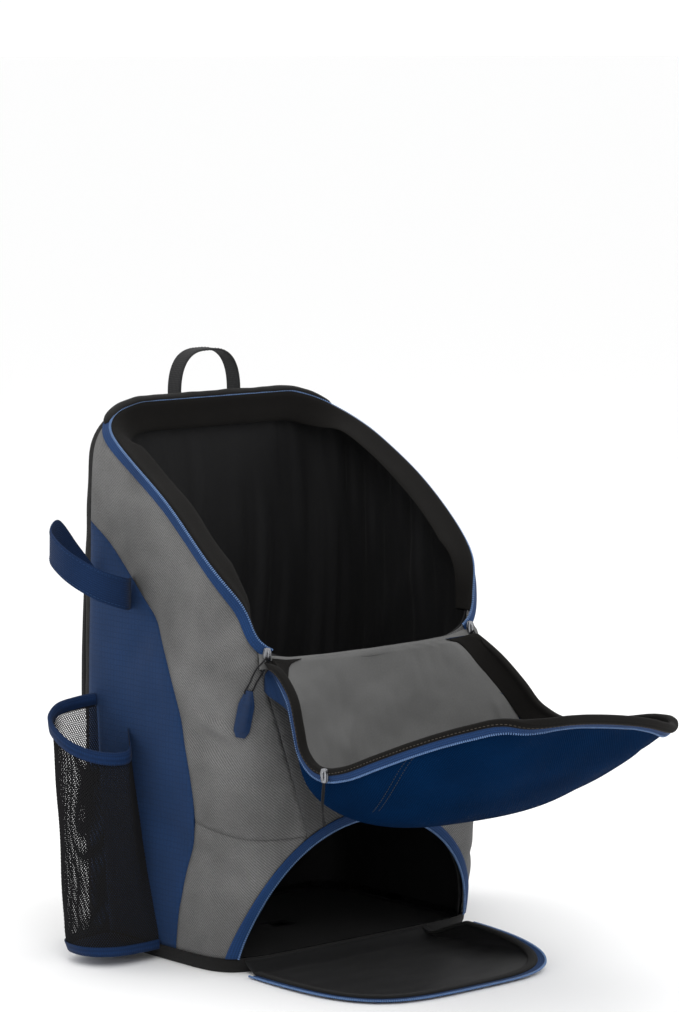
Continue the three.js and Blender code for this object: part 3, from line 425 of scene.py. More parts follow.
# colours as linear light
colours = {
    "gray": (0.146, 0.145, 0.144),
    # the same gray made darker: painted shade for the front panel where it lies under the let-down flap
    "frontGrayPaintedShade": (0.082, 0.082, 0.083),
    "navy": (0.0105, 0.034, 0.1),
    "flapNavy": (0.0006, 0.0125, 0.046),
    "black": (0.0095, 0.0092, 0.0092),
    "deepBlack": (0.0075, 0.0075, 0.008),
    "facing": (0.0068, 0.0062, 0.0057),
    "flapLining": (0.102, 0.102, 0.101),
    "tape": (0.0085, 0.034, 0.108),
    "coil": (0.11, 0.19, 0.36),
    "strapNavy": (0.0042, 0.018, 0.06),
    "binding": (0.0045, 0.02, 0.068),
    "webbing": (0.022, 0.022, 0.023),
    "net": (0.007, 0.007, 0.008),
    "thread": (0.03, 0.032, 0.036),
    "blueThread": (0.013, 0.04, 0.11),
    "rimThread": (0.06, 0.05, 0.04),
    "cord": (0.007, 0.007, 0.008),
    "metal": (0.26, 0.265, 0.28),
    "tab": (0.0045, 0.019, 0.06),
}

finishes = {
    "gray": clothMaterial("grayTwill", colours["gray"], "twill", 0.9, 0.02, 0.00034, 0.28),
    # the gray twill again in the darker colour, painted shade for the front panel under the flap
    "frontGrayPaintedShade": clothMaterial("frontGrayTwillPaintedShade", colours["frontGrayPaintedShade"], "twill", 0.9, 0.02, 0.00034, 0.28),
    "navy": clothMaterial("navyRipstop", colours["navy"], "plain", 0.85, 0.03, 0.0002, 0.16, grid=0.0052),
    "flap": clothMaterial("flapTwill", colours["flapNavy"], "twill", 0.9, 0.0, 0.00026, 0.2, shine=0.02),
    "black": clothMaterial("blackCloth", colours["black"], "plain", 0.88, 0.04, 0.0002, 0.14),
    "lining": clothMaterial("blackLining", colours["deepBlack"], "fine", 0.55, 0.03, 0.0001, 0.1),
    "facing": clothMaterial("facingCloth", colours["facing"], "plain", 0.85, 0.015, 0.0002, 0.14, shine=0.08),
    "flapLining": clothMaterial("grayLining", colours["flapLining"], "fine", 0.5, 0.05, 0.00008, 0.1),
    "tape": clothMaterial("zipTape", colours["tape"], "ribbed", 0.75, 0.03, 0.00025, 0.16),
    "coil": plainMaterial("zipCoil", colours["coil"], 0.4),
    "strap": clothMaterial("strapWebbing", colours["strapNavy"], "ribbed", 0.8, 0.03, 0.0003, 0.18),
    "binding": clothMaterial("sleeveBinding", colours["binding"], "ribbed", 0.8, 0.03, 0.0003, 0.18),
    "webbing": clothMaterial("darkWebbing", colours["webbing"], "ribbed", 0.8, 0.03, 0.00035, 0.18),
    "net": clothMaterial("netStrands", colours["net"], "fine", 0.8, 0.02, 0.00005, 0.1),
    "thread": plainMaterial("blackThread", colours["thread"], 0.7),
    "blueThread": plainMaterial("blueThread", colours["blueThread"], 0.7),
    "rimThread": plainMaterial("rimThread", colours["rimThread"], 0.7),
    "cord": plainMaterial("braidedCord", colours["cord"], 0.7),
    "metal": plainMaterial("sliderMetal", colours["metal"], 0.32, 1.0),
    "tab": plainMaterial("pullTabPlastic", colours["tab"], 0.45),
}
print("finishes ready")


# Body form, from the same sections as the solids
bodyValues = {"width": 0.326, "front": 0.137, "back": 0.118, "height": 0.512, "squareness": 7, "capReach": 0.09}
bodySections = np.array(
    [  # up, wide, front, back
        (0, 0.95, 0.85, 0.965),
        (0.012, 0.968, 0.872, 0.98),
        (0.03, 0.98, 0.885, 0.99),
        (0.12, 0.995, 0.935, 1),
        (0.28, 1, 0.985, 1),
        (0.44, 1, 1, 1),
        (0.57, 0.993, 1, 1),
        (0.7, 0.98, 0.965, 1),
        (0.82, 0.972, 0.92, 1),
        (0.91, 0.955, 0.86, 0.99),
        (0.945, 0.92, 0.83, 0.98),
        (0.97, 0.85, 0.8, 0.97),
        (0.987, 0.755, 0.78, 0.96),
        (1, 0.6, 0.75, 0.94),
    ]
)
sideDents = np.array(
    [  # along, up, along spread, up spread, rise, depth
        (0.86, 0.585, 0.34, 0.03, 0.16, 0.016),
        (0.78, 0.41, 0.36, 0.028, -0.12, 0.017),
        (0.2, 0.66, 0.5, 0.05, 0.3, 0.011),
        (0.3, 0.245, 0.4, 0.03, -0.1, 0.008),
    ]
)
openingCurve = [(-0.545, 0.567), (-0.512, 0.611), (-0.47, 0.682), (-0.348, 0.75), (-0.134, 0.84), (0.098, 0.911)]
openingCurve += [(0.285, 0.961), (0.35, 0.99)]
seamValues = {"fold": 0.290, "archHalf": 0.151, "archHigh": 0.140, "hem": 0.014}
bodyDepth = bodyValues["front"] + bodyValues["back"]
halfWidth = bodyValues["width"] / 2


def sizesAt(level):
    up = np.clip(np.asarray(level, float) / bodyValues["height"], 0, 1)
    half = halfWidth * tableAt(bodySections, 1, up)
    return half, bodyValues["front"] * tableAt(bodySections, 2, up), bodyValues["back"] * tableAt(bodySections, 3, up)


def dentAt(y, z):
    total = 0
    for along, up, alongSpread, upSpread, rise, depth in sideDents:
        ahead = (-y / bodyValues["front"] - along) / alongSpread
        above = (z / bodyValues["height"] - up - rise * (-y / bodyValues["front"] - along)) / upSpread
        total = total + depth * bodyValues["width"] * np.exp(-(ahead**2) - above**2)
    return total


def bodyPoint(turn, level, inset=0.0, backInset=None, lowest=0.0):
    # turn goes round the body from 0 to 4 (right, back, left, front), and beyond the top or the
    # bottom the level runs inward over the flat end
    backInset = inset if backInset is None else backInset
    turn, level = np.broadcast_arrays(np.mod(turn, 4.0), np.asarray(level, float))
    side = np.minimum(np.floor(turn), 3)
    s = (turn - side) * 2 - 1
    sx = np.select([side == 0, side == 1, side == 2], [1, -s, -1], s)
    sy = np.select([side == 0, side == 1, side == 2], [s, 1, -s], -1)
    top = bodyValues["height"] - inset
    z = np.clip(level, lowest, top)
    half, front, back = sizesAt(z)
    outer = np.where(sy > 0, back, front)
    depth = np.where(sy > 0, back - backInset, front - inset)
    n = bodyValues["squareness"]
    reach = ((np.abs(sx * half) / (half - inset)) ** n + (np.abs(sy * outer) / depth) ** n) ** (-1 / n)
    over = np.clip(1 - (level - top) / bodyValues["capReach"], 0, 1) * np.clip(
        1 - (lowest - level) / bodyValues["capReach"], 0, 1
    )
    over = np.where((level > top) | (level < lowest), over, 1)
    x, y = sx * half * reach, sy * outer * reach
    x = x - np.sign(x) * np.abs(x / half) ** 6 * dentAt(y, z)
    return np.stack([x * over, y * over, z], axis=-1)


def bodyNormal(turn, level, inset=0.0, backInset=None, lowest=0.0):
    a, b = 0.002, 0.0008
    around = bodyPoint(
        turn + a, level, inset, backInset, lowest
    ) - bodyPoint(turn - a, level, inset, backInset, lowest)
    up = bodyPoint(turn, level + b, inset, backInset, lowest) - bodyPoint(turn, level - b, inset, backInset, lowest)
    return unit(np.cross(around, up))


def turnOf(points):
    # the turn and level of points on the body
    x, y, z = points[:, 0], points[:, 1], points[:, 2]
    half, front, back = sizesAt(z)
    sx, sy = x / half, y / np.where(y > 0, back, front)
    most = np.maximum(np.abs(sx), np.abs(sy))
    onSide = np.abs(sx) >= np.abs(sy)
    side = np.where(onSide, np.where(x > 0, 0, 2), np.where(y > 0, 1, 3))
    s = np.select([side == 0, side == 1, side == 2], [sy, -sx, -sy], sx) / most
    turn = side + (s + 1) / 2
    level = z.copy()
    n = bodyValues["squareness"]
    rho = (np.abs(sx) ** n + np.abs(sy) ** n) ** (1 / n)
    over = (z > bodyValues["height"] - 1e-5) & (rho < 1)
    level[over] = bodyValues["height"] + (1 - rho[over]) * bodyValues["capReach"]
    under = (z < 1e-5) & (rho < 1)
    level[under] = -(1 - rho[under]) * bodyValues["capReach"]
    return turn, level


def sideX(y, z):
    half, front, back = sizesAt(z)
    share = np.minimum(np.abs(y) / np.where(y > 0, back, front), 0.995)
    n = bodyValues["squareness"]
    return half * (1 - share**n) ** (1 / n)


def frontY(x, z):
    half, front, _ = sizesAt(z)
    share = np.minimum(np.abs(x) / half, 0.995)
    n = bodyValues["squareness"]
    return -front * (1 - share**n) ** (1 / n)


def onSide(side, y, z, proud):
    # a point on the side wall and the direction out of it
    step = 0.0005
    before, here, after = sideX(np.array([y - step, y, y + step]), np.full(3, z))
    out = unit(np.array([1, (before - after) / (2 * step), 0]))
    return (np.array([here, y, z]) + out * proud) * (side, 1, 1), out * (side, 1, 1)


# Cloth panels, cut to the same seams as the solids
def outerLoops(node):
    # the edge loops of a solid's outer face, as turn and level
    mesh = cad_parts[node].data
    places = np.array([v.co for v in mesh.vertices], float)
    keys, index = {}, []
    for place in np.round(places, 6):
        index.append(keys.setdefault(tuple(place), len(keys)))
    welded = np.array(list(keys))
    triangles = []
    for polygon in mesh.polygons:
        corners = [index[v] for v in polygon.vertices]
        for k in range(1, len(corners) - 1):
            if len({corners[0], corners[k], corners[k + 1]}) == 3:
                triangles.append((corners[0], corners[k], corners[k + 1]))
    triangles = np.array(triangles)
    corners = welded[triangles]
    facing = unit(np.cross(corners[:, 1] - corners[:, 0], corners[:, 2] - corners[:, 0]))
    turn, level = turnOf(corners.mean(1))
    outer = (facing * bodyNormal(turn, level)).sum(1) > 0.6
    following = {}
    sides = set()
    for a, b, c in triangles[outer]:
        sides |= {(a, b), (b, c), (c, a)}
    for a, b in sides:
        if (b, a) not in sides:
            following.setdefault(a, []).append(b)
    loops = []
    while following:
        start = next(iter(following))
        loop, here = [start], following[start].pop()
        if not following[start]:
            del following[start]
        while here != start and here in following:
            loop.append(here)
            after = following[here].pop()
            if not following[here]:
                del following[here]
            here = after
        if len(loop) > 5:
            loops.append(np.column_stack(turnOf(welded[loop])))
    return sorted(loops, key=len, reverse=True)


turnLength = 0.28


def softened(loop, spacing):
    # a seam without the solid's facets: its corners stay, the rest is smoothed and spaced evenly
    loop = loop[np.linalg.norm(np.roll(loop, -1, axis=0) - loop, axis=1) > 0.0006]
    before, after = unit(loop - np.roll(loop, 1, axis=0)), unit(np.roll(loop, -1, axis=0) - loop)
    corner = (before * after).sum(1) < math.cos(math.radians(38))
    if not corner.any():
        corner[0] = True
    first = int(np.argmax(corner))
    loop, corner = np.roll(loop, -first, axis=0), np.roll(corner, -first)
    ends = list(np.flatnonzero(corner)) + [len(loop)]
    closed = np.vstack([loop, loop[:1]])
    parts = []
    for first, last in zip(ends[:-1], ends[1:]):
        run = evenly(closed[first : last + 1], spacing)
        for _ in range(40 if last - first > 2 else 0):
            run[1:-1] += 0.5 * ((run[:-2] + run[2:]) / 2 - run[1:-1])
        parts.append(evenly(run, spacing)[:-1])
    return np.vstack(parts)


def insideOf(points, loops):
    inside = np.zeros(len(points), bool)
    for loop in loops:
        a, b = loop, np.roll(loop, -1, axis=0)
        for (ax, ay), (bx, by) in zip(a, b):
            crosses = (ay > points[:, 1]) != (by > points[:, 1])
            if crosses.any():
                inside ^= crosses & (points[:, 0] < (bx - ax) * (points[:, 1] - ay) / (by - ay + 1e-15) + ax)
    return inside


def patchMesh(loops, spacing):
    # even triangles inside the loops, and how far each point lies from the edge
    flat = [softened(loop * (turnLength, 1), spacing) for loop in loops]
    edges, rim = [], np.vstack(flat)
    start = 0
    for loop in flat:
        count = len(loop)
        edges += [(start + k, start + (k + 1) % count) for k in range(count)]
        start += count
    low, high = rim.min(0), rim.max(0)
    xs = np.arange(low[0], high[0], spacing)
    ys = np.arange(low[1], high[1], spacing * 0.866)
    inner = np.array([(x + (spacing / 2 if k % 2 else 0), y) for k, y in enumerate(ys) for x in xs])
    inner = inner[insideOf(inner, flat)]
    far = np.array([np.min(((rim - p) ** 2).sum(1)) for p in inner]) ** 0.5
    inner = inner[far > spacing * 0.6]
    plan = np.vstack([rim, inner])
    made = geometry.delaunay_2d_cdt([Vector(p) for p in plan], edges, [], 1, 1e-7)
    points = np.array([tuple(p) for p in made[0]])
    faces = np.array([tuple(f) for f in made[2]])
    used = np.unique(faces)
    order = np.full(len(points), -1)
    order[used] = np.arange(len(used))
    points, faces = points[used], order[faces]
    a, b, c = (points[faces[:, k]] for k in range(3))
    area = (b[:, 0] - a[:, 0]) * (c[:, 1] - a[:, 1]) - (b[:, 1] - a[:, 1]) * (c[:, 0] - a[:, 0])
    faces[area < 0] = faces[area < 0][:, ::-1]
    distance = np.array([np.min(((rim - p) ** 2).sum(1)) for p in points]) ** 0.5
    return points, faces, distance


def openEdges(faces):
    sides = {}
    for a, b, c in faces:
        for side in ((a, b), (b, c), (c, a)):
            sides[side] = True
    return [side for side in sides if (side[1], side[0]) not in sides]


panelValues = {
    "spacing": 0.0048,
    "thick": 0.0021,
    "pillow": 0.0011,  # how far a panel sinks at its seams
    "pillowReach": 0.007,
    "unevenness": 0.0011,
}

# creases of the side panels: from and to (along, up), half width, depth
sideCreases = [
    (-0.545, 0.488, -0.30, 0.476, 0.0075, 0.0034),
    (-0.535, 0.462, -0.36, 0.468, 0.0055, 0.0022),
    (-0.52, 0.602, -0.42, 0.566, 0.0065, 0.0026),
    (-0.50, 0.405, -0.28, 0.425, 0.0075, 0.0026),
    (-0.54, 0.375, -0.44, 0.352, 0.0055, 0.002),
    (-0.36, 0.33, -0.28, 0.44, 0.009, 0.0018),
    (-0.14, 0.70, 0.02, 0.665, 0.011, 0.0022),
    (0.06, 0.80, 0.22, 0.76, 0.012, 0.002),
    (-0.44, 0.21, -0.28, 0.245, 0.0065, 0.0018),
    (-0.47, 0.12, -0.36, 0.175, 0.0065, 0.0016),
    (-0.30, 0.09, -0.20, 0.15, 0.0075, 0.0015),
]


def creaseDepth(points, creases):
    # a shallow valley with a soft ridge beside it, fading at both ends
    total = np.zeros(len(points))
    for y0, z0, y1, z1, width, depth in creases:
        a = np.array((y0 * bodyDepth, z0 * bodyValues["height"]))
        b = np.array((y1 * bodyDepth, z1 * bodyValues["height"]))
        along = b - a
        spot = points[:, 1:] - a
        share = spot @ along / (along @ along)
        across = (spot[:, 0] * along[1] - spot[:, 1] * along[0]) / np.linalg.norm(along)
        across = across + 0.004 * np.sin(share * 5 + y0 * 40)
        fade = np.clip(np.minimum(share + 0.12, 1.12 - share) * 3.2, 0, 1)
        fade = fade * fade * (3 - 2 * fade)
        valley = np.exp(-((across / width) ** 2)) - 0.55 * np.exp(-(((across - 1.9 * width) / (1.3 * width)) ** 2))
        total += depth * valley * fade
    return total


def closedPanel(name, points, normals, faces, plan, material, stands, slot, mirror=False):
    thick = panelValues["thick"]
    count = len(points)
    both = np.vstack([points, points - normals * thick])
    rim = np.array(openEdges(faces))
    shell = [tuple(f) for f in faces] + [tuple(f[::-1] + count) for f in faces]
    shell += [(b, a, a + count, b + count) for a, b in rim]
    if mirror:
        both = both * (-1, 1, 1)
        shell = [f[::-1] for f in shell]
    return addPiece(name, both, shell, material, np.vstack([plan, plan]), stands=stands, slot=slot)


def panel(node, material, slot, seed, creases=(), pillow=1.0, sides=("",), uneven=1.0, settle=None):
    loops = outerLoops(node + (sides[0] and "_" + sides[0]))
    if settle:
        # the top edge has sunk under the weight of the flap
        start, keep = settle
        for loop in loops:
            loop[:, 1] = np.where(loop[:, 1] > start, start + (loop[:, 1] - start) * keep, loop[:, 1])
    plan, faces, edge = patchMesh(loops, panelValues["spacing"])
    turn, level = plan[:, 0] / turnLength, plan[:, 1]
    base, normals = bodyPoint(turn, level), bodyNormal(turn, level)
    for side in sides:
        mirror = side == "right"
        sink = panelValues["pillow"] * pillow * np.exp(-((edge / panelValues["pillowReach"]) ** 2))
        calm = 1 - np.exp(-((edge / 0.012) ** 2))
        height = panelValues["unevenness"] * uneven * ripple(base, 0.11, seed + mirror) * calm
        height += 0.35 * panelValues["unevenness"] * uneven * ripple(base, 0.035, seed + 5 + mirror) * calm
        if len(creases):
            height -= creaseDepth(base, creases) * (0.25 + 0.75 * calm)
        # the cloth never sinks as far as the lining behind it
        points = base + normals * np.maximum(height - sink, -0.0014)[:, None]
        name = node + (side and "_" + side) + "_cloth"
        closedPanel(name, points, normals, faces, plan, material, [node + (side and "_" + side)], slot, mirror)


both = ("left", "right")
panel("side_panel_upper", finishes["gray"], "gray_cloth", 11, sideCreases, sides=both)
panel("side_panel_lower", finishes["gray"], "gray_cloth", 23, sideCreases, sides=both)
panel("side_gusset", finishes["navy"], "navy_cloth", 31, sides=both)
# the front panel is the same gray twill with painted shade: darker, for where it lies under the let-down flap
panel("front_panel", finishes["frontGrayPaintedShade"], "gray_cloth", 41, settle=(0.27, 0.6))
panel("back_panel", finishes["black"], "black_cloth", 51, pillow=2.6, uneven=1.6)
print("body panels cut")


# Base tray: the hem round the foot and the floor under it
def baseTray():
    turns = np.linspace(0, 4, 241)[:-1]
    levels = np.array([-0.085, -0.05, -0.02, -0.008, -0.003, 0, 0.002, 0.005, 0.008, 0.011, 0.0125, 0.0137])
    grid = bodyPoint(turns[:, None], levels[None, :])
    normals = bodyNormal(turns[:, None], levels[None, :])
    swell = 0.0012 * np.sin(np.clip(levels / 0.0137, 0, 1) * math.pi)
    low = np.clip(grid[..., 2:], 0, 0.0137)
    grid = grid + normals * swell[None, :, None] * (low > 0)
    grid[..., 2] = np.maximum(grid[..., 2], 0)
    inner = grid - normals * 0.002
    inner[..., 2] = np.maximum(inner[..., 2], 0.002)
    plan = flatPlan(turns * turnLength, levels)
    ringPiece("base_tray_cloth", grid, inner, plan, finishes["black"], ["base_tray"], "black_cloth")


baseTray()


# Lining, shelf and the main opening
liningValues = {"inset": 0.0044, "backPad": 0.0096, "floor": 0.0058, "folds": 0.0022}


def sideLine(rows, steps):
    return evenSpline([(along * bodyDepth, up * bodyValues["height"]) for along, up in rows], steps)


openingSide = sideLine(openingCurve, 160)
backSeam = openingSide[-1, 0]


def openingPath(spacing):
    # the edge of the main opening, from the left end of the fold over the top to the right end
    side = openingSide[openingSide[:, 1] > seamValues["fold"] + 0.0005]
    z = side[:, 1]
    left = np.column_stack([-sideX(side[:, 0], z), side[:, 0], z])
    across = np.linspace(-1, 1, 121) * abs(left[-1, 0])
    over = []
    for x in across:
        low, high = left[-1, 2] - 0.02, bodyValues["height"]
        for _ in range(30):
            middle = (low + high) / 2
            half, _, back = sizesAt(middle)
            n = bodyValues["squareness"]
            inside = (abs(x) / half) ** n + (backSeam / back) ** n < 1
            low, high = (middle, high) if inside else (low, middle)
        over.append((x, backSeam, low))
    right = left[::-1] * (-1, 1, 1)
    path = np.vstack([left, over[1:-1], right])
    path = evenly(path, spacing)
    for _ in range(6):
        path[1:-1] += 0.5 * ((path[:-2] + path[2:]) / 2 - path[1:-1])
    return evenly(path, spacing)


def bodyNormalAt(points):
    turn, level = turnOf(points)
    return bodyNormal(turn, np.minimum(level, 0.5118))


def openingFrames(spacing):
    path = openingPath(spacing)
    tangent = alongLine(path)
    normal = bodyNormalAt(path)
    top = np.abs(path[:, 0]) < abs(path[:, 0]).max() * 0.98
    top &= path[:, 1] > backSeam - 0.0015
    lift = np.clip((path[:, 2] - 0.506) / 0.006, 0, 1)[:, None] * top[:, None]
    normal = unit(normal * (1 - lift) + np.array([0, 0, 1.0]) * lift)
    for _ in range(12):
        normal[1:-1] += 0.5 * ((normal[:-2] + normal[2:]) / 2 - normal[1:-1])
    normal = unit(normal - (normal * tangent).sum(1)[:, None] * tangent)
    across = np.cross(tangent, normal)
    # across points away from the opening: down at the front, back at the top
    across *= np.sign(across[len(across) // 2, 1])
    return path, tangent, normal, across


def wallTop(turns):
    # where the lining ends under the main opening, for each turn
    tops = []
    for turn in turns:
        low, high = 0.2, 0.5
        for _ in range(24):
            middle = (low + high) / 2
            y = bodyPoint(turn, middle)[1]
            edge = 0.52 if y > backSeam else np.interp(
                y, openingSide[:, 0], openingSide[:, 1], left=seamValues["fold"]
            )
            low, high = (middle, high) if middle < edge else (low, middle)
        tops.append(low if high < 0.4999 else 0.5)
    return np.array(tops)


def makeLining():
    inset, pad = liningValues["inset"], liningValues["inset"] + liningValues["backPad"]
    turns = np.linspace(0, 4, 361)[:-1]
    outer = bodyPoint(turns, 0.1)
    arch = 1 - (outer[:, 0] / (seamValues["archHalf"] - 0.006)) ** 2
    isFront = (outer[:, 1] < -0.05) & (arch > 0)
    bottom = np.where(isFront, np.sqrt(np.maximum(arch, 0)) * (seamValues["archHigh"] - 0.004), 0.006)
    bottom = np.maximum(bottom, 0.006)
    top = wallTop(turns) - 0.004
    rows = 90
    share = np.linspace(0, 1, rows)
    level = bottom[:, None] + (top - bottom)[:, None] * share[None, :]
    turnGrid = np.repeat(turns[:, None], rows, axis=1)
    grid = bodyPoint(turnGrid, level, inset, pad, 0.0058)
    normal = bodyNormal(turnGrid, np.clip(level, 0.02, 0.5))
    flat = grid.reshape(-1, 3)
    u = (turnGrid * turnLength).ravel()
    z = flat[:, 2]
    wave = np.sin(
        u * 2 * math.pi / 0.043 + 1.7 * np.sin(z * 11 + u * 9)
    ) + 0.6 * np.sin(u * 2 * math.pi / 0.027 + 2.3 * np.sin(z * 17 + 2))
    fold = liningValues["folds"] * np.maximum(wave + 0.5, 0) * (0.6 + 0.4 * ripple(flat, 0.12, 71))
    fold = fold * np.clip((z - 0.16) / 0.08, 0.15, 1)
    inner = grid - normal * (0.0002 + np.maximum(fold, 0)).reshape(grid.shape[:2])[..., None]
    back = grid + normal * 0.0007
    plan = np.stack([turnGrid * turnLength, level], axis=-1)
    ringPiece("inner_lining_wall", back, inner, plan, finishes["lining"], ["inner_lining"], "black_lining")
    # floor of the shoe compartment
    turns = np.linspace(0, 4, 181)[:-1]
    levels = np.linspace(-0.085, 0.0, 14)
    ring = bodyPoint(turns[:, None], levels[None, :] + 0.0058, inset, pad, 0.0058)
    ring[..., 2] = 0.0062 + 0.0005 * ripple(ring.reshape(-1, 3), 0.05, 77).reshape(ring.shape[:2])
    rim = ring[:, -1:].copy()
    rim[..., 2] = 0.0135
    ring = np.concatenate([ring, rim], axis=1)
    ringPiece(
        "inner_lining_floor", ring, ring - (0, 0, 0.0006), ring[..., :2], finishes["lining"], slot="black_lining"
    )


makeLining()


def makeShelf():
    turns = np.linspace(0, 4, 201)[:-1]
    low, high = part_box("compartment_shelf")
    rings = np.concatenate([np.linspace(0.02, 0.97, 24), [0.985, 0.994]])
    edge = bodyPoint(turns, 0.1515, 0.0046, 0.0142)
    grid = edge[:, None, :] * np.array([1, 1, 0])[None, None, :] * rings[None, :, None]
    sag = 0.0009 * ripple((grid * 1.0).reshape(-1, 3), 0.09, 81).reshape(grid.shape[:2])
    calm = np.clip((1 - rings) * 8, 0, 1)[None, :]
    upper, lower = grid.copy(), grid.copy()
    upper[..., 2] = high.z - 0.0003 + sag * calm
    lower[..., 2] = low.z + 0.0003 + sag * calm
    ringPiece(
        "compartment_shelf_cloth",
        upper,
        lower,
        grid[..., :2],
        finishes["lining"],
        ["compartment_shelf"],
        "black_lining",
    )


makeShelf()


# Facing inside the edge of the main opening
facingValues = {"droopFrom": 0.008, "width": 0.024, "droop": 0.0022}


def flatOutline(low, high, bottom, top, rounding, steps=3):
    # a thin rounded rectangle, as pairs of distance across and height
    points = []
    for cx, cy, start in ((high, top, 0), (low, top, 90), (low, bottom, 180), (high, bottom, 270)):
        sx = -1 if cx == high else 1
        sy = -1 if cy == top else 1
        for k in range(steps + 1):
            a = math.radians(start + 90 * k / steps)
            points.append((cx + sx * rounding + rounding * math.cos(a), cy + sy * rounding + rounding * math.sin(a)))
    return np.array(points)


def wideOutline(low, high, bottom, top, rounding, parts):
    # the same with extra points along its width, so that it can carry folds
    base = flatOutline(low, high, bottom, top, rounding)
    count = len(base) // 4
    upper = [(x, top) for x in np.linspace(high - rounding, low + rounding, parts + 1)[1:-1]]
    lower = [(x, bottom) for x in np.linspace(low + rounding, high - rounding, parts + 1)[1:-1]]
    return np.array([*base[:count], *upper, *base[count : 3 * count], *lower, *base[3 * count :]])


def makeFacing():
    path, tangent, normal, across = openingFrames(0.005)
    openNormal = unit(np.cross(tangent, normal))
    openNormal *= -np.sign((openNormal * across).sum(1))[:, None]
    keep = path[:, 1] > -0.131
    first, last = np.flatnonzero(keep)[[0, -1]]
    path, tangent, normal = path[first : last + 1], tangent[first : last + 1], normal[first : last + 1]
    plane = openNormal[first : last + 1]
    flatPlane = plane.copy()
    flatPlane[:, 0] = 0
    plane = unit(flatPlane + 1e-9)
    inward = -normal
    inward = unit(inward - (inward * plane).sum(1)[:, None] * plane)
    for _ in range(8):
        inward[1:-1] += 0.5 * ((inward[:-2] + inward[2:]) / 2 - inward[1:-1])
    inward = unit(inward)
    # it starts as a lip over the raw edge of the wall, then lies along the inside
    outline = [
        (-0.0004, 0.0004), (-0.0003, 0.0012), (0.0012, 0.0018), (0.0036, 0.0017), (0.0064, 0.0010), (0.0100, 0.0002)
    ]
    outline += [
        (0.0145, -0.0003),
        (0.0190, -0.0004),
        (0.0240, -0.0004),
        (0.0280, -0.0006),
        (0.0286, -0.0012),
        (0.0280, -0.0020),
    ]
    outline += [
        (0.0220, -0.0021),
        (0.0150, -0.0021),
        (0.0090, -0.0021),
        (0.0052, -0.0021),
        (0.0047, -0.0014),
        (0.0045, 0.0),
        (0.0020, 0.0004),
    ]
    outline = np.array(outline)[::-1]
    narrow = np.interp(path[:, 1], (-0.131, -0.095), (0.4, 1.0))[:, None]
    reach = np.where(
        outline[None, :, 0] > 0.0055, 0.0055 + (outline[None, :, 0] - 0.0055) * narrow, outline[None, :, 0]
    )
    grid = path[:, None] + inward[:, None] * reach[..., None] + plane[:, None] * outline[None, :, 1:2]
    flat = grid.reshape(-1, 3)
    droop = np.clip((outline[:, 0] - facingValues["droopFrom"]) / facingValues["width"], 0, 1) ** 1.5
    drop = facingValues["droop"] * np.tile(droop, len(path)) * (1 + ripple(flat, 0.07, 91))
    flat = flat - np.repeat(plane, len(outline), axis=0) * drop[:, None]
    far = farAlong(path)
    plan = flatPlan(far, outline[:, 0])
    tubePiece(
        "main_facing_cloth", flat.reshape(grid.shape), plan, finishes["facing"], ["main_facing"], "brown_black_facing"
    )


makeFacing()


# Zips: a woven tape with a coil along its open edge
zipValues = {"tape": 0.0092, "thick": 0.0013, "coilPitch": 0.0021, "tooth": (0.0012, 0.0022, 0.0015)}


def zipTeeth(name, path, tangent, across, up, offset, height):
    length, width, tall = (v / 2 for v in zipValues["tooth"])
    shapes = []
    corners = np.array([(x, y, z) for x in (-1, 1) for y in (-1, 1) for z in (-1, 1)], float)
    sides = [(0, 1, 3, 2), (4, 6, 7, 5), (0, 4, 5, 1), (2, 3, 7, 6), (0, 2, 6, 4), (1, 5, 7, 3)]
    for p, t, a, u in zip(path, tangent, across, up):
        middle = p + a * offset + u * height
        size = np.where(corners[:, 2:] > 0, 0.7, 1.0)
        block = middle + corners[:, :1] * t * length * size + corners[:, 1:2] * a * width * size + corners[:, 2:] * u * tall
        shapes.append((block, sides))
    addShapes(name, shapes, finishes["coil"], slot="blue_zip_tape", smooth=False)


def makeMainZip():
    path, tangent, normal, across = openingFrames(0.003)
    keep = path[:, 1] > -0.1342
    first, last = np.flatnonzero(keep)[[0, -1]]
    path, tangent, normal, across = (v[first : last + 1] for v in (path, tangent, normal, across))
    outline = wideOutline(-0.0002, zipValues["tape"], 0.0003, 0.0003 + zipValues["thick"], 0.0005, 6)
    grid = path[:, None] + across[:, None] * outline[None, :, :1] + normal[:, None] * outline[None, :, 1:]
    plan = flatPlan(farAlong(path), farAlong(outline))
    tubePiece("main_zip_tape_cloth", grid, plan, finishes["tape"], ["main_zip_tape"], "blue_zip_tape")
    fine = evenly(path, zipValues["coilPitch"])
    pick = np.clip(np.searchsorted(np.linspace(0, 1, len(path)), np.linspace(0, 1, len(fine))), 0, len(path) - 1)
    zipTeeth("main_zip_coil", fine, tangent[pick], across[pick], normal[pick], 0.0001, 0.0013)


makeMainZip()


def makeTopRoll():
    # the padded black rim over the top, where the zip runs out of sight
    path, _, normal, across = openingFrames(0.003)
    pick = np.flatnonzero(path[:, 2] > 0.4955)
    path, normal, across = (v[pick[0] : pick[-1] + 1] for v in (path, normal, across))
    turn = np.linspace(0, 2 * math.pi, 21)[:-1]
    ends = np.clip(np.minimum(np.arange(len(path)), np.arange(len(path))[::-1]) / 7, 0, 1)
    size = (0.35 + 0.65 * np.sqrt(1 - (1 - ends) ** 2))[:, None, None]
    aside, high = 0.0042 + 0.0057 * np.cos(turn), 0.0028 + 0.0033 * np.sin(turn)
    place = path[:, None] + across[:, None] * 0.0042 + normal[:, None] * 0.0012
    grid = place + size * (
        across[:, None] * (aside - 0.0042)[None, :, None] + normal[:, None] * (high - 0.0012)[None, :, None]
    )
    grid = grid + normal[:, None] * 0.0005 * ripple(grid.reshape(-1, 3), 0.03, 63).reshape(grid.shape[:2])[..., None]
    far = np.linspace(0, 0.003 * len(path), len(path))
    plan = flatPlan(far, turn * 0.0045)
    tubePiece("opening_top_roll", grid, plan, finishes["black"], slot="black_cloth")


makeTopRoll()


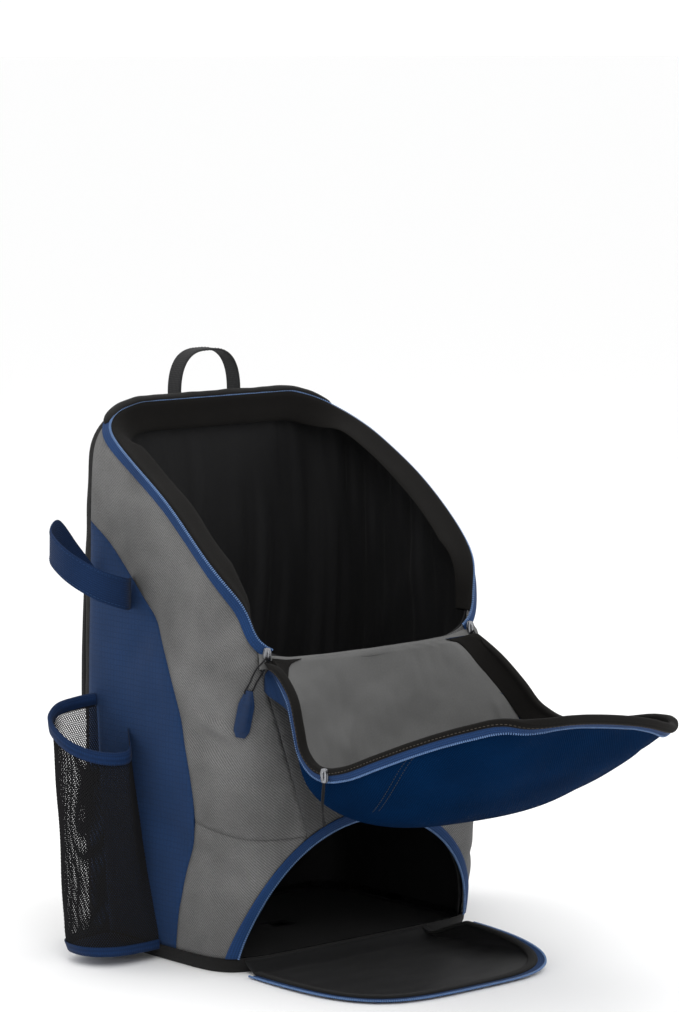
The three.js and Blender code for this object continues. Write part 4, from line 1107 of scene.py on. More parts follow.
# Shoe arch: its tape on the front of the body
def makeArchTape():
    a, b = seamValues["archHalf"] - zipValues["tape"], seamValues["archHigh"] - zipValues["tape"]
    low = math.asin(min((seamValues["hem"] + 0.0006) / b, 1))
    turn = np.linspace(math.pi - low, low, 150)
    outerLow = math.asin(min((seamValues["hem"] + 0.0006) / seamValues["archHigh"], 1))
    turnOuter = np.linspace(math.pi - outerLow, outerLow, 150)
    inner = np.column_stack([a * np.cos(turn), b * np.sin(turn)])
    outer = np.column_stack([seamValues["archHalf"] * np.cos(turnOuter), seamValues["archHigh"] * np.sin(turnOuter)])
    share = np.array([0, 0.04, 0.2, 0.4, 0.6, 0.8, 0.96, 1.0])
    spots = inner[:, None] * (1 - share[None, :, None]) + outer[:, None] * share[None, :, None]
    x, z = spots[..., 0], spots[..., 1]
    face = np.stack([x, frontY(x, z), z], axis=-1)
    normal = bodyNormalAt(face.reshape(-1, 3)).reshape(face.shape)
    lift = np.array([0.0006, 0.0013, 0.0016, 0.0016, 0.0016, 0.0016, 0.0013, 0.0006])
    top, under = face + normal * (lift + 0.0002)[None, :, None], face + normal * 0.0003
    far = farAlong(face[:, 0])
    plan = flatPlan(far, share * zipValues["tape"])
    sheetPiece("shoe_arch_tape_cloth", top, under, plan, finishes["tape"], ["shoe_arch_tape"], "blue_zip_tape")
    edge = evenly(face[:, 0], zipValues["coilPitch"])
    tangent = alongLine(edge)
    up = bodyNormalAt(edge)
    zipTeeth("shoe_arch_coil", edge, tangent, unit(np.cross(tangent, up)), up, 0.0, 0.0013)


makeArchTape()
print("lining, facing and zips done")


# Front flap, let down to the front
flapValues = {
    "reach": 0.320,
    "shell": 0.0014,
    "lip": 0.007,
    "facing": 0.024,
    "tape": 0.009,
    "unevenness": 0.0010,
    "cornerLong": 0.105,
    "cornerWide": 0.62,
}

# place from fold to tip; keel out, keel up, rim wide, rim out, rim up, drop to the right
flapStations = np.array(
    [
        (0, 1.005, 0.8, 0.012, 1.01, 0),
        (0.03, 0.87, 0.845, 0.096, 0.995, 0.05),
        (0.054, 0.735, 0.877, 0.175, 0.93, 0.062),
        (0.088, 0.614, 0.9, 0.216, 0.845, 0.03),
        (0.153, 0.531, 0.914, 0.248, 0.77, -0.02),
        (0.256, 0.493, 0.92, 0.312, 0.728, -0.04),
        (0.378, 0.5, 0.908, 0.404, 0.742, -0.028),
        (0.519, 0.541, 0.877, 0.522, 0.795, 0),
        (0.659, 0.621, 0.828, 0.654, 0.855, 0.03),
        (0.8, 0.731, 0.742, 0.79, 0.912, 0.055),
        (0.916, 0.85, 0.64, 0.905, 0.95, 0.08),
        (0.998, 0.94, 0.515, 0.978, 0.955, 0.09),
    ]
)
flapRows = np.column_stack([np.arange(12) / 11, flapStations])
flapStart = -bodyValues["front"] - 0.0003


def flapPoint(at, turn):
    # a point of the flap's outer face: at runs from fold to tip, turn from rim to rim
    at, turn = np.broadcast_arrays(np.asarray(at, float), np.asarray(turn, float))
    fold, halfBody = seamValues["fold"], bodyValues["width"] / 2
    keelOut, keelUp, rimWide, rimOut, rimUp, drop = (tableAt(flapRows, k, at) for k in range(1, 7))
    angle = math.pi / 2 * turn
    rise = np.maximum(1 - np.cos(angle), 0) ** 1.15
    besideRim = np.exp(-(((np.abs(turn) - 0.84) / 0.1) ** 2)) * np.minimum(at * 4, 1)
    besideTip = np.exp(-(((at - 0.925) / 0.05) ** 2))
    inCorner = np.clip((at - 0.76) / 0.14, 0, 1) * np.clip((np.abs(turn) - 0.25) / 0.3, 0, 1)
    lip = flapValues["lip"] * np.maximum(besideRim, besideTip) * (1 - inCorner)
    sink = fold * drop * ((1 + np.sin(angle)) / 2) ** 2.2
    keelY, rimY = flapStart - flapValues["reach"] * keelOut, flapStart - flapValues["reach"] * rimOut
    y = keelY + (rimY - keelY) * rise
    z = fold * (keelUp + (rimUp - keelUp) * rise) + lip - sink
    return np.stack([halfBody * rimWide * np.sin(angle), y, z], axis=-1)


def flapInward(at, turn):
    at, turn = np.broadcast_arrays(np.asarray(at, float), np.asarray(turn, float))
    step = 0.01
    down = flapPoint(np.minimum(at + step, 1), turn) - flapPoint(np.maximum(at - step, 0), turn)
    around = flapPoint(at, np.minimum(turn + step, 1)) - flapPoint(at, np.maximum(turn - step, -1))
    return -unit(np.cross(around, down))


def turnInside(ats, distance):
    # the turn that lies a distance inside the rim
    turns = np.linspace(1, 0, 201)
    return np.array([np.interp(distance, farAlong(flapPoint(at, turns)), turns) for at in ats])


def tipAt(turn):
    # the place of the tip's edge for each turn, with rounded corners
    wide = flapValues["cornerWide"]
    share = np.clip((np.abs(turn) - 1 + wide) / wide, 0, 1)
    return 1 - flapValues["cornerLong"] * (1 - np.sqrt(1 - share**2))


def rimLine(first, spacing):
    # places and turns of points an even distance apart along the rim, from fold to fold
    wide, long = flapValues["cornerWide"], flapValues["cornerLong"]
    bend = np.linspace(0, math.pi / 2, 60)[1:]
    at = np.concatenate([np.linspace(first, 1 - long, 300), 1 - long + long * np.sin(bend), np.ones(199)])
    turn = np.concatenate([np.ones(300), 1 - wide + wide * np.cos(bend), np.linspace(1 - wide, 0, 200)[1:]])
    at, turn = np.concatenate([at, at[-2::-1]]), np.concatenate([-turn, turn[-2::-1]])
    far = farAlong(flapPoint(at, turn))
    want = np.linspace(0, far[-1], int(far[-1] / spacing) + 1)
    return np.interp(want, far, at), np.interp(want, far, turn)


def rimPlaces(distances, first=0.0, spacing=0.0035):
    # places and turns of a band along the rim, one column for each distance inside it
    at, turn = rimLine(first, spacing)
    line = flapPoint(at, turn)
    heading = unit(np.cross(alongLine(line), flapInward(at, turn)))
    heading *= np.sign((heading * (flapPoint(at * 0.97, turn * 0.94) - line)).sum(1))[:, None]
    stride, small = 0.003, 0.002
    ats, turns = [at], [turn]
    # at the fold the band runs straight across, toward the middle
    straight, side = 1 - np.clip(at / 0.08, 0, 1), np.sign(turn)
    for _ in range(10):
        down = (flapPoint(np.minimum(at + small, 1), turn) - flapPoint(np.maximum(at - small, 0), turn))
        down /= (np.minimum(at + small, 1) - np.maximum(at - small, 0))[:, None]
        around = (flapPoint(at, np.minimum(turn + small, 1)) - flapPoint(at, np.maximum(turn - small, -1)))
        around /= (np.minimum(turn + small, 1) - np.maximum(turn - small, -1))[:, None]
        dd, da, aa = (down**2).sum(1), (down * around).sum(1), (around**2).sum(1)
        hd, ha = (heading * down).sum(1) * stride, (heading * around).sum(1) * stride
        stepAt, stepTurn = (aa * hd - da * ha) / (dd * aa - da**2), (dd * ha - da * hd) / (dd * aa - da**2)
        stepAt = stepAt * (1 - straight)
        stepTurn = stepTurn * (1 - straight) - straight * side * stride / np.sqrt(aa)
        heading = unit(down * stepAt[:, None] + around * stepTurn[:, None])
        at, turn = np.clip(at + stepAt, 0, 1), np.clip(turn + stepTurn, -1, 1)
        ats.append(at)
        turns.append(turn)
    spot = np.clip(np.asarray(distances, float) / stride, 0, 9.999)
    low, share = spot.astype(int), spot % 1
    ats, turns = np.array(ats), np.array(turns)
    at, turn = (v[low].T * (1 - share) + v[low + 1].T * share for v in (ats, turns))
    return at, turn


def evenlyAt(curve, low, high, spacing):
    # parameters whose points on a curve are a spacing apart
    fine = np.linspace(low, high, 600)
    far = farAlong(curve(fine))
    count = max(int(far[-1] / spacing), 2)
    return np.interp(np.linspace(0, far[-1], count + 1), far, fine)


# wrinkles of the flap: place and turn of both ends, half width and height, on either face
flapCreases = [
    (0.10, -0.75, 0.34, -0.55, 0.008, 0.0022),
    (0.16, -0.2, 0.40, -0.42, 0.010, 0.0018),
    (0.20, 0.35, 0.46, 0.18, 0.012, 0.0020),
    (0.14, 0.78, 0.42, 0.60, 0.009, 0.0024),
    (0.46, -0.62, 0.78, -0.50, 0.010, 0.0020),
    (0.52, 0.45, 0.84, 0.32, 0.012, 0.0018),
    (0.60, -0.10, 0.90, -0.22, 0.011, 0.0016),
    (0.70, 0.66, 0.93, 0.55, 0.008, 0.0018),
]


def flapWrinkles(at, turn):
    # how far the cloth stands up into the dish
    total = np.zeros(np.shape(at))
    for at0, turn0, at1, turn1, width, height in flapCreases:
        a, b = np.array((at0 * 0.42, turn0 * 0.16)), np.array((at1 * 0.42, turn1 * 0.16))
        along = b - a
        spot = np.stack([at * 0.42, turn * 0.16], axis=-1) - a
        share = spot @ along / (along @ along)
        across = (spot[..., 0] * along[1] - spot[..., 1] * along[0]) / np.linalg.norm(along)
        across = across + 0.004 * np.sin(share * 4 + at0 * 30)
        fade = np.clip(np.minimum(share + 0.15, 1.15 - share) * 3, 0, 1)
        total += height * np.exp(-((across / width) ** 2)) * fade * fade * (3 - 2 * fade)
    return total


def flapPlan(at, turn):
    return np.stack([at * 0.42, turn * 0.19], axis=-1)


def flapFace(at, turn, depth, swell):
    return flapPoint(at, turn) + flapInward(at, turn) * (depth + swell)[..., None]


def flapRelief(at, turn):
    # how far the whole flap stands up into the dish: uneven cloth and its wrinkles, none at the rim
    edge = np.clip(np.minimum(1 - np.abs(turn), (1 - at) * 2.2) / 0.13, 0, 1)
    uneven = flapValues["unevenness"] * ripple(flapPoint(at, turn).reshape(-1, 3), 0.09, 15).reshape(at.shape)
    return (uneven + 0.55 * flapWrinkles(at, turn)) * edge


def makeFlap():
    rows = evenlyAt(lambda s: flapPoint(s, 0.3), 0, 1, 0.0042)
    turns = np.sin(np.linspace(-1, 1, 91) * math.pi / 2) * 0.35 + np.linspace(-1, 1, 91) * 0.65
    at, turn = np.meshgrid(rows, turns, indexing="ij")
    at = at * tipAt(turn)
    wrinkle = flapRelief(at, turn)
    outer, inner = flapFace(at, turn, 0, wrinkle), flapFace(at, turn, flapValues["shell"], wrinkle)
    sheetPiece(
        "front_flap_cloth", outer, inner, flapPlan(at, turn), finishes["flap"], ["front_flap"], "navy_flap_cloth"
    )
    # the lining, a little loose inside the shell
    edgeAt, edgeTurn = (v[:, 0] for v in rimPlaces([0.0225], 0.0005, 0.003))
    half = len(edgeAt) // 2
    edgeAt = np.maximum.accumulate(edgeAt[:half])
    rows = evenlyAt(lambda s: flapPoint(s, 0.3), 0.003, edgeAt[-1] - 0.002, 0.0042)
    share = np.linspace(-1, 1, 81)
    bound = np.interp(rows, edgeAt, -edgeTurn[:half])
    at = np.repeat(rows[:, None], len(share), axis=1)
    turn = bound[:, None] * share[None, :]
    calm = np.clip(np.minimum(1 - np.abs(share)[None, :], (rows[-1] - rows)[:, None] * 2.2) / 0.12, 0, 1)
    base = flapPoint(at, turn)
    uneven = 0.0017 * (0.6 + ripple(base.reshape(-1, 3), 0.06, 19).reshape(at.shape))
    uneven += 0.0009 * (0.3 + np.abs(ripple(base.reshape(-1, 3), 0.035, 20))).reshape(at.shape)
    loose = flapRelief(at, turn) + np.maximum(0.8 * flapWrinkles(at, turn) + uneven, 0) * calm
    top, under = flapFace(at, turn, 0.0030, loose), flapFace(at, turn, 0.0023, loose)
    sheetPiece(
        "flap_lining_cloth", top, under, flapPlan(at, turn), finishes["flapLining"], ["flap_lining"], "gray_lining"
    )


def makeLiningRoll():
    # the flap's lining goes on over the rim of the front wall and down inside it
    # level, how proud it is of the wall, share of the rise toward the corners
    profile = [(0.2862, 0.0058, 0), (0.2880, 0.0056, 0), (0.2900, 0.0048, 0.2), (0.2914, 0.0034, 0.5)]
    profile += [(0.2922, 0.0016, 0.9), (0.2925, -0.0004, 1), (0.2922, -0.0024, 1), (0.2910, -0.0040, 1)]
    profile += [(0.2880, -0.0050, 0.8), (0.2820, -0.0054, 0.5), (0.2740, -0.0056, 0.3)]
    turns = np.linspace(3.5 - 0.43, 3.5 + 0.43, 121)
    x = bodyPoint(turns, 0.29)[:, 0]
    rise = np.interp(np.abs(x), (0, 0.06, 0.1, 0.12, 0.13), (0, 0.0004, 0.0018, 0.005, 0.008))
    smooth = evenSpline(profile, 30)
    level = smooth[None, :, 0] + rise[:, None] * smooth[None, :, 2]
    turnGrid = np.repeat(turns[:, None], len(smooth), axis=1)
    base, normal = bodyPoint(turnGrid, level), bodyNormal(turnGrid, level)
    soft = 0.0006 * ripple(base.reshape(-1, 3), 0.05, 44).reshape(level.shape)
    top = base + normal * (smooth[None, :, 1] + soft)[..., None]
    out = gridNormals(top)
    out = out * np.sign((out[:, 4] * normal[:, 4]).sum(-1).mean())
    under = top - out * 0.0008
    sheetPiece(
        "flap_lining_roll", top[::-1], under[::-1], gridPlan(top)[::-1], finishes["flapLining"], slot="gray_lining"
    )


makeLiningRoll()


def makeFlapGussets():
    # folded cloth that closes the corner between the flap and the body
    for label, side in (("left", -1), ("right", 1)):
        rows, columns = np.linspace(0, 1, 30), np.linspace(0, 1, 25)
        at = 0.339 * rows
        turn = side * turnInside(at, 0.0102)
        body = np.array([onSide(side, -0.1336, 0.280 - 0.014 * share, 0.0006)[0] for share in rows])
        flap = flapPoint(at, turn) - flapInward(at, turn) * 0.0018
        grid = body[:, None] * (1 - columns[None, :, None]) + flap[:, None] * columns[None, :, None]
        valley = np.minimum(columns / 0.4, (1 - columns) / 0.6)
        valley = valley * valley * (3 - 2 * valley)
        depth = (0.004 + 0.010 * rows)[:, None] * valley[None, :] * np.minimum(rows * 6, 1)[:, None]
        calm = np.sin(columns * math.pi)[None, :] * np.minimum(rows * 5, 1)[:, None]
        depth = depth + 0.0016 * ripple(grid.reshape(-1, 3), 0.035, 47 + side).reshape(depth.shape) * calm
        grid[..., 0] -= side * depth
        low, high = grid - (side * 0.0005, 0, 0), grid + (side * 0.0005, 0, 0)
        if side > 0:
            low, high = low[::-1], high[::-1]
        sheetPiece(
            "flap_gusset_" + label + "_cloth",
            high,
            low,
            gridPlan(grid),
            finishes["navy"],
            ["flap_gusset_" + label],
            "navy_flap_cloth",
        )


def rimBand(name, outline, material, stands, slot, first=0.0, spacing=0.0035, wobble=0.0):
    # a band along the rim with a closed outline of (distance inside the rim, depth)
    outline = np.asarray(outline, float)
    at, turn = rimPlaces(outline[:, 0], first, spacing)
    depth = np.repeat(outline[None, :, 1], len(at), axis=0)
    grid = flapPoint(at, turn) + flapInward(at, turn) * depth[..., None]
    # what lies beyond the rim goes straight on from it
    line = flapPoint(*rimPlaces([0.0, 0.003], first, spacing))
    grid = grid + unit(line[:, 0] - line[:, 1])[:, None] * np.maximum(-outline[:, 0], 0)[None, :, None]
    if wobble:
        swell = wobble * ripple(grid.reshape(-1, 3), 0.05, 27).reshape(at.shape)
        keep = np.clip((outline[:, 0] - 0.003) / 0.01, 0, 1)[None, :] * (outline[:, 1] > 0.003)[None, :]
        grid = grid + flapInward(at, turn) * (swell * keep)[..., None]
    tubePiece(name, grid, lengthPlan(grid, outline[:, 0]), material, stands, slot)


def makeFlapRim():
    facing = flapValues["facing"]
    # the facing wraps over the rim and covers the upper edge of the tape outside
    roll = [(0.0044, -0.0020), (0.0047, -0.0026), (0.0040, -0.0031), (0.0018, -0.0034), (0.0, -0.0030)]
    roll += [
        (-0.0009, -0.0018), (-0.0013, 0.0), (-0.0014, 0.0018), (-0.0012, 0.0034), (-0.0003, 0.0047), (0.0014, 0.0052)
    ]
    top = [(d, 0.0046 - 0.0006 * math.sin(d * 130)) for d in np.linspace(0.004, facing - 0.0016, 8)]
    inner = [(facing - 0.0004, 0.0041), (facing, 0.0034), (facing - 0.0004, 0.0029)]
    bottom = [(d, 0.0027) for d in np.linspace(facing - 0.003, 0.003, 5)]
    bottom += [(0.0006, 0.0021), (-0.0003, 0.0008), (-0.0004, -0.0012), (0.0004, -0.0020)]
    outline = (roll + top + inner + bottom)[::-1]
    rimBand(
        "flap_facing_cloth", outline, finishes["facing"], ["flap_facing"], "brown_black_facing", 0.002, wobble=0.0007
    )
    tape = wideOutline(0.0026, 0.0026 + flapValues["tape"], -0.0019, -0.0006, 0.0005, 5)
    rimBand("flap_zip_tape_cloth", tape, finishes["tape"], ["flap_zip_tape"], "blue_zip_tape", 0.006)
    # the coil along the tape's lower edge
    at, turn = (v[:, 0] for v in rimPlaces([0.0114], 0.008, 0.0021))
    path, out = flapPoint(at, turn), -flapInward(at, turn)
    keep = np.concatenate([[True], np.linalg.norm(np.diff(path, axis=0), axis=1) > 0.0004])
    path, out = path[keep], out[keep]
    fine = evenly(path, 0.0021)
    far = farAlong(path)
    out = unit(np.column_stack([np.interp(np.linspace(0, far[-1], len(fine)), far, out[:, k]) for k in range(3)]))
    tangent = alongLine(fine)
    zipTeeth("flap_zip_coil", fine, tangent, unit(np.cross(tangent, out)), out, 0.0, 0.0021)


makeFlap()
makeFlapRim()
makeFlapGussets()
print("flap done")


# Shoe door, folded down on the floor
doorValues = {"length": 0.182, "halfWidth": 0.156, "curl": 0.024, "tape": 0.009, "thick": 0.003}


def doorPoint(across, out, rim, lift):
    across, out, rim, lift = np.broadcast_arrays(*(np.asarray(v, float) for v in (across, out, rim, lift)))
    radius = np.maximum(np.maximum(np.abs(across), out), 1e-6)
    corner = np.maximum((np.abs(across) / radius) ** 4 + (out / radius) ** 4, 1)
    across1, out1 = across * corner**-0.25, out * corner**-0.25
    right = np.maximum(across1, 0) ** 3
    flare = 0.92 + 0.08 * out1
    x = (doorValues["halfWidth"] - doorValues["tape"] + rim) * across1 * flare * (1 - 0.42 * right)
    hinge = frontY(x, np.full(x.shape, seamValues["hem"])) - 0.00045
    distance = (doorValues["length"] - doorValues["tape"] + rim) * out1 * (1 - 0.3 * right)
    fold = np.maximum(1 - distance / (seamValues["hem"] * 1.6), 0) ** 2 * (seamValues["hem"] - 0.0036)
    curl = doorValues["curl"] * radius**5 * (right + 0.06) * np.minimum(2 * out, 1)
    return np.stack([x, hinge - distance, 0.0003 + fold + curl + lift], axis=-1)


def doorRim(rims, lift, start, spacing):
    # rows along the rim of the door, one column for each distance beyond the cloth
    side, across = np.linspace(start, 1, 200), np.linspace(-1, 1, 400)[1:]
    fine = np.column_stack([[*-np.ones(200), *across, *np.ones(199)], [*side, *np.ones(399), *side[-2::-1]]])
    line = doorPoint(fine[:, 0], fine[:, 1], doorValues["tape"], 0)
    far = farAlong(line)
    at = np.linspace(0, far[-1], int(far[-1] / spacing) + 1)
    spots = np.column_stack([np.interp(at, far, fine[:, k]) for k in range(2)])
    return doorPoint(spots[:, :1], spots[:, 1:], np.array(rims)[None, :], np.array(lift)[None, :])


def makeDoor():
    across = np.sin(np.linspace(-1, 1, 101) * math.pi / 2) * 0.25 + np.linspace(-1, 1, 101) * 0.75
    out = np.linspace(0, 1, 61)
    grid = doorPoint(across[None, :], out[:, None], 0.0, 0.0)
    spots = grid.reshape(-1, 3)
    calm = np.clip(np.minimum(1 - np.abs(across)[None, :], 1 - out[:, None]) / 0.1, 0, 1)
    calm = calm * np.clip(out[:, None] / 0.15, 0, 1)
    swell = 0.0011 * (0.7 + ripple(spots, 0.09, 61)).reshape(calm.shape)
    swell += 0.0005 * ripple(spots, 0.035, 62).reshape(calm.shape)
    top, under = grid.copy(), grid.copy()
    top[..., 2] += doorValues["thick"] - 0.0006 * (1 - calm) + swell * calm
    under[..., 2] += 0.0002
    sheetPiece(
        "shoe_door_cloth",
        top[::-1],
        under[::-1],
        gridPlan(grid)[::-1],
        finishes["lining"],
        ["shoe_door"],
        "black_cloth",
    )
    # black binding sewn over the edge of the door
    outline = [(-0.0075, 0.0022), (-0.0066, 0.0032), (-0.003, 0.0037), (0.0004, 0.0036), (0.0016, 0.0029)]
    outline += [(0.0019, 0.0019), (0.0014, 0.0009), (0.0, 0.0005), (-0.004, 0.0006), (-0.0072, 0.0012)]
    outline = np.array(outline)
    grid = doorRim(outline[:, 0], outline[:, 1], 0.1, 0.003)
    tubePiece("shoe_door_binding", grid, lengthPlan(grid, outline[:, 0]), finishes["black"], slot="black_cloth")
    outline = wideOutline(0.0012, 0.009, 0.0005, 0.0017, 0.0004, 4)
    grid = doorRim(outline[:, 0], outline[:, 1], 0.125, 0.003)
    plan = lengthPlan(grid, outline[:, 0])
    tubePiece("shoe_door_tape_cloth", grid, plan, finishes["tape"], ["shoe_door_tape"], "blue_zip_tape")
    path = doorRim([0.009], [0.0019], 0.13, 0.0021)[:, 0]
    tangent = alongLine(path)
    up = np.tile((0.0, 0.0, 1.0), (len(path), 1))
    zipTeeth("shoe_door_coil", path, tangent, unit(np.cross(tangent, up)), up, 0.0, 0.0)


makeDoor()
print("door done")


# Bat sleeves and straps
sleeveValues = {
    "height": 0.208,
    "foot": 0.010,
    "depth": 0.074,
    "halfLength": 0.040,
    "back": 0.030,
    "lean": 0.017,
    "tilt": 0.1,
    "floor": 0.003,
    "binding": 0.011,
    "cell": (0.0024, 0.0034),
    "strand": (0.0011, 0.0005),
}

# out and along, from the front seam round to the back seam
sleeveOutline = [
    (0.3, -0.9), (0.7, -0.82), (0.95, -0.42), (1, 0.05), (0.93, 0.5), (0.66, 0.88), (0.3, 1.02), (0, 1.06)
]
# up, size, place of the front seam
sleeveLevels = np.array(
    [
        (0, 0.96, -0.86),
        (0.06, 1.01, -0.84),
        (0.2, 1.01, -0.76),
        (0.42, 0.98, -0.6),
        (0.66, 1, -0.42),
        (0.88, 0.99, -0.26),
        (1, 1.01, -0.2),
    ]
)


def sleeveLine(up, inset, steps=120):
    # the wall of the left sleeve at one level, on the positive side; mirrored later
    v = sleeveValues
    full, seam = float(tableAt(sleeveLevels, 1, up)), float(tableAt(sleeveLevels, 2, up))
    rows = np.array([(0, seam), *sleeveOutline])
    level = v["height"] * up
    middle = v["back"] + v["lean"] * (up - 1)
    y = middle + (v["halfLength"] - inset) * rows[:, 1] * full
    high = max(level, 2 * seamValues["hem"])
    x = sideX(y, np.full(len(y), high)) + 0.0003 + (v["depth"] * full - inset) * rows[:, 0]
    line = roundSpline(np.column_stack([x, y, np.full(len(y), level)]), steps)
    slope = (line[:, 1] - middle) / v["halfLength"]
    base = v["floor"] + 0.0003
    z = base + (level - base) * (1 + v["tilt"] * slope)
    least = sideX(line[:, 1], np.full(len(line), high)) + 0.0003
    line[:, 0] = np.maximum(line[:, 0], least)
    line[:, 2] = v["foot"] + np.maximum(z, base)
    return evenly(line, farAlong(line)[-1] / steps)[: steps + 1]


def sleeveGrid(low, high, rows, inset, steps=120):
    return np.array([sleeveLine(up, inset, steps) for up in np.linspace(low, high, rows)])


def gridSampler(grid):
    rows, columns = grid.shape[:2]

    def sample(u, v):
        # u and v from 0 to 1 across and up
        x, y = np.clip(u, 0, 1) * (columns - 1.0001), np.clip(v, 0, 1) * (rows - 1.0001)
        i, j = y.astype(int), x.astype(int)
        s, t = (y - i)[:, None], (x - j)[:, None]
        low = grid[i, j] * (1 - t) + grid[i, j + 1] * t
        high = grid[i + 1, j] * (1 - t) + grid[i + 1, j + 1] * t
        return low * (1 - s) + high * s

    return sample


def netStrands(grid, normals, width, height, cell, strand):
    # both families of flat strands of a diamond net laid over a grid
    sample, lean = gridSampler(grid), gridSampler(normals)
    points, faces, start = [], [], 0
    halfX, halfZ = cell[0] / 2, cell[1] / 2
    steps = int(height / halfZ)
    for family in (1, -1):
        count = int((width + height * halfX / halfZ) / cell[0]) + 2
        first = 0 if family == -1 else -int(height * halfX / halfZ / cell[0]) - 1
        for k in range(first, first + count):
            j = np.arange(steps + 1)
            u = k * cell[0] + family * j * halfX
            v = j * halfZ
            keep = (u >= -halfX * 0.5) & (u <= width + halfX * 0.5)
            if keep.sum() < 2:
                continue
            u, v, j = u[keep], v[keep], j[keep]
            middle = sample(u / width, v / height)
            normal = unit(lean(u / width, v / height))
            along = alongLine(middle)
            side = unit(np.cross(normal, along))
            weave = ((j + (family == 1)) % 2 - 0.5)[:, None] * 0.00022 * family
            a = middle + side * strand[0] / 2 + normal * (weave - strand[1] / 2)
            b = middle - side * strand[0] / 2 + normal * (weave - strand[1] / 2)
            c = middle + normal * (weave + strand[1] / 2)
            ring = np.stack([a, b, c], axis=1).reshape(-1, 3)
            points.append(ring)
            n = np.arange(len(u) - 1) * 3 + start
            for p, q in ((0, 1), (1, 2), (2, 0)):
                faces.append(np.column_stack([n + p, n + q, n + q + 3, n + p + 3]))
            start += len(ring)
    return np.vstack(points), np.vstack(faces)


def makeSleeve(side):
    v = sleeveValues
    grid = sleeveGrid(0, 1, 41, 0.0007)
    normals = gridNormals(grid)
    if normals[20, 60, 0] < 0:
        normals = -normals
    seed = 3 if side == "left" else 8
    up = np.linspace(0, 1, 41)
    calm = np.sin(up * math.pi)[:, None] * np.sin(np.linspace(0, math.pi, grid.shape[1]))[None, :]
    slack = 0.0016 * ripple(grid.reshape(-1, 3) * (1, 1, 0.45), 0.05, seed).reshape(calm.shape) * calm
    grid = grid + normals * slack[..., None]
    points, faces = netStrands(grid, normals, farAlong(grid[20])[-1], v["height"] - 0.004, v["cell"], v["strand"])
    if side == "left":
        points, faces = points * (-1, 1, 1), faces[:, ::-1]
    node = "bat_sleeve_" + side
    addPiece(node + "_net", points, faces, finishes["net"], smooth=False, stands=[node], slot="black_mesh")
    # binding folded over the top edge
    low = 1 - v["binding"] / v["height"]
    lines = {key: sleeveGrid(low, 1, 2, key, 150) for key in (-0.0031, -0.0022, 0.0011, 0.0019)}

    def spot(inset, share):
        keys = sorted(lines)
        k = max(min(np.searchsorted(keys, inset), 3), 1)
        s = (inset - keys[k - 1]) / (keys[k] - keys[k - 1])
        line = lines[keys[k - 1]] * (1 - s) + lines[keys[k]] * s
        return line[0] * (1 - share) + line[1] * share

    outline = [(-0.0020, 0), (-0.0028, 0.02), (-0.0029, 0.5), (-0.0028, 0.9), (-0.0020, 1.02), (-0.0008, 1.08)]
    outline += [
        (0.0006, 1.06), (0.0014, 0.98), (0.0017, 0.9), (0.0017, 0.35), (0.0012, 0.3), (0.0008, 0.4), (0.0004, 0.9)
    ]
    outline += [(-0.0006, 0.94), (-0.0014, 0.88), (-0.0017, 0.5), (-0.0017, 0.06)]
    grid = np.stack([spot(inset, share) for inset, share in outline], axis=1)
    girth = np.linspace(0, 0.03, len(outline))
    bandPiece(
        "sleeve_binding_" + side + "_cloth",
        grid,
        lengthPlan(grid, girth),
        finishes["binding"],
        ["sleeve_binding_" + side],
        "navy_webbing",
        side,
    )
    # floor of the sleeve and the trim round its foot
    ring = sleeveLine(0, 0.0)[:, :2]
    wall = sideX(ring[-1:, 1], np.array([0.028]))[0] + 0.0004
    hull = np.vstack([ring, (wall, ring[-1, 1]), ring[0] + (0.0001, 0)])
    middle = hull.mean(0)
    # share of the outline and height
    rows = [
        (0.2, 0.0102), (0.7, 0.0101), (0.985, 0.0104), (1.0, 0.0112), (1.0, 0.0133), (0.985, 0.0137), (0.6, 0.0131)
    ]
    rows += [(0.25, 0.0127)]
    grid = np.array([np.column_stack([middle + (hull - middle) * share, np.full(len(hull), z)]) for share, z in rows])
    bandPiece(
        "sleeve_floor_" + side + "_cloth",
        grid,
        grid[..., :2],
        finishes["navy"],
        ["sleeve_floor_" + side],
        "navy_cloth",
        side,
    )
    trim = [
        (0.0, -0.0009),
        (0.06, -0.0012),
        (0.85, -0.0013),
        (0.97, -0.0010),
        (1.0, -0.0003),
        (0.9, 0.0002),
        (0.06, 0.0002),
    ]
    line = sleeveGrid(0, 0.045, 2, 0.0, 150)
    outward = (sleeveGrid(0, 0.045, 2, -0.001, 150) - line) / 0.001
    grid = []
    for share, inset in trim:
        low, high = line - outward * inset
        row = low * (1 - share) + high * share
        row[:, 2] = 0.0104 + share * 0.0095
        grid.append(row)
    grid = np.stack(grid, axis=1)
    bandPiece(
        "sleeve_trim_" + side,
        grid,
        lengthPlan(grid, np.linspace(0, 0.02, len(trim))),
        finishes["binding"],
        slot="navy_cloth",
        side=side,
    )


strapValues = {"height": 0.339, "rise": 0.058, "width": 0.030, "seam": -0.4, "thick": 0.0018}


def strapLine(inset, raised, steps=150):
    v = sleeveValues
    rows = np.array([(0, strapValues["seam"]), *sleeveOutline])
    y = v["back"] + (v["halfLength"] - inset) * rows[:, 1] + v["halfLength"] * 0.14
    rise = ((rows[:, 1] + 1) / 2) ** 0.5 * np.minimum(rows[:, 0] * 1.4 + 0.1, 1)
    z = strapValues["height"] + strapValues["rise"] * rise + raised
    x = sideX(y, z) + 0.0003 + (v["depth"] - inset) * rows[:, 0]
    line = roundSpline(np.column_stack([x, y, z]), steps)
    line[:, 0] = np.maximum(line[:, 0], sideX(line[:, 1], line[:, 2]) + 0.0003)
    return line


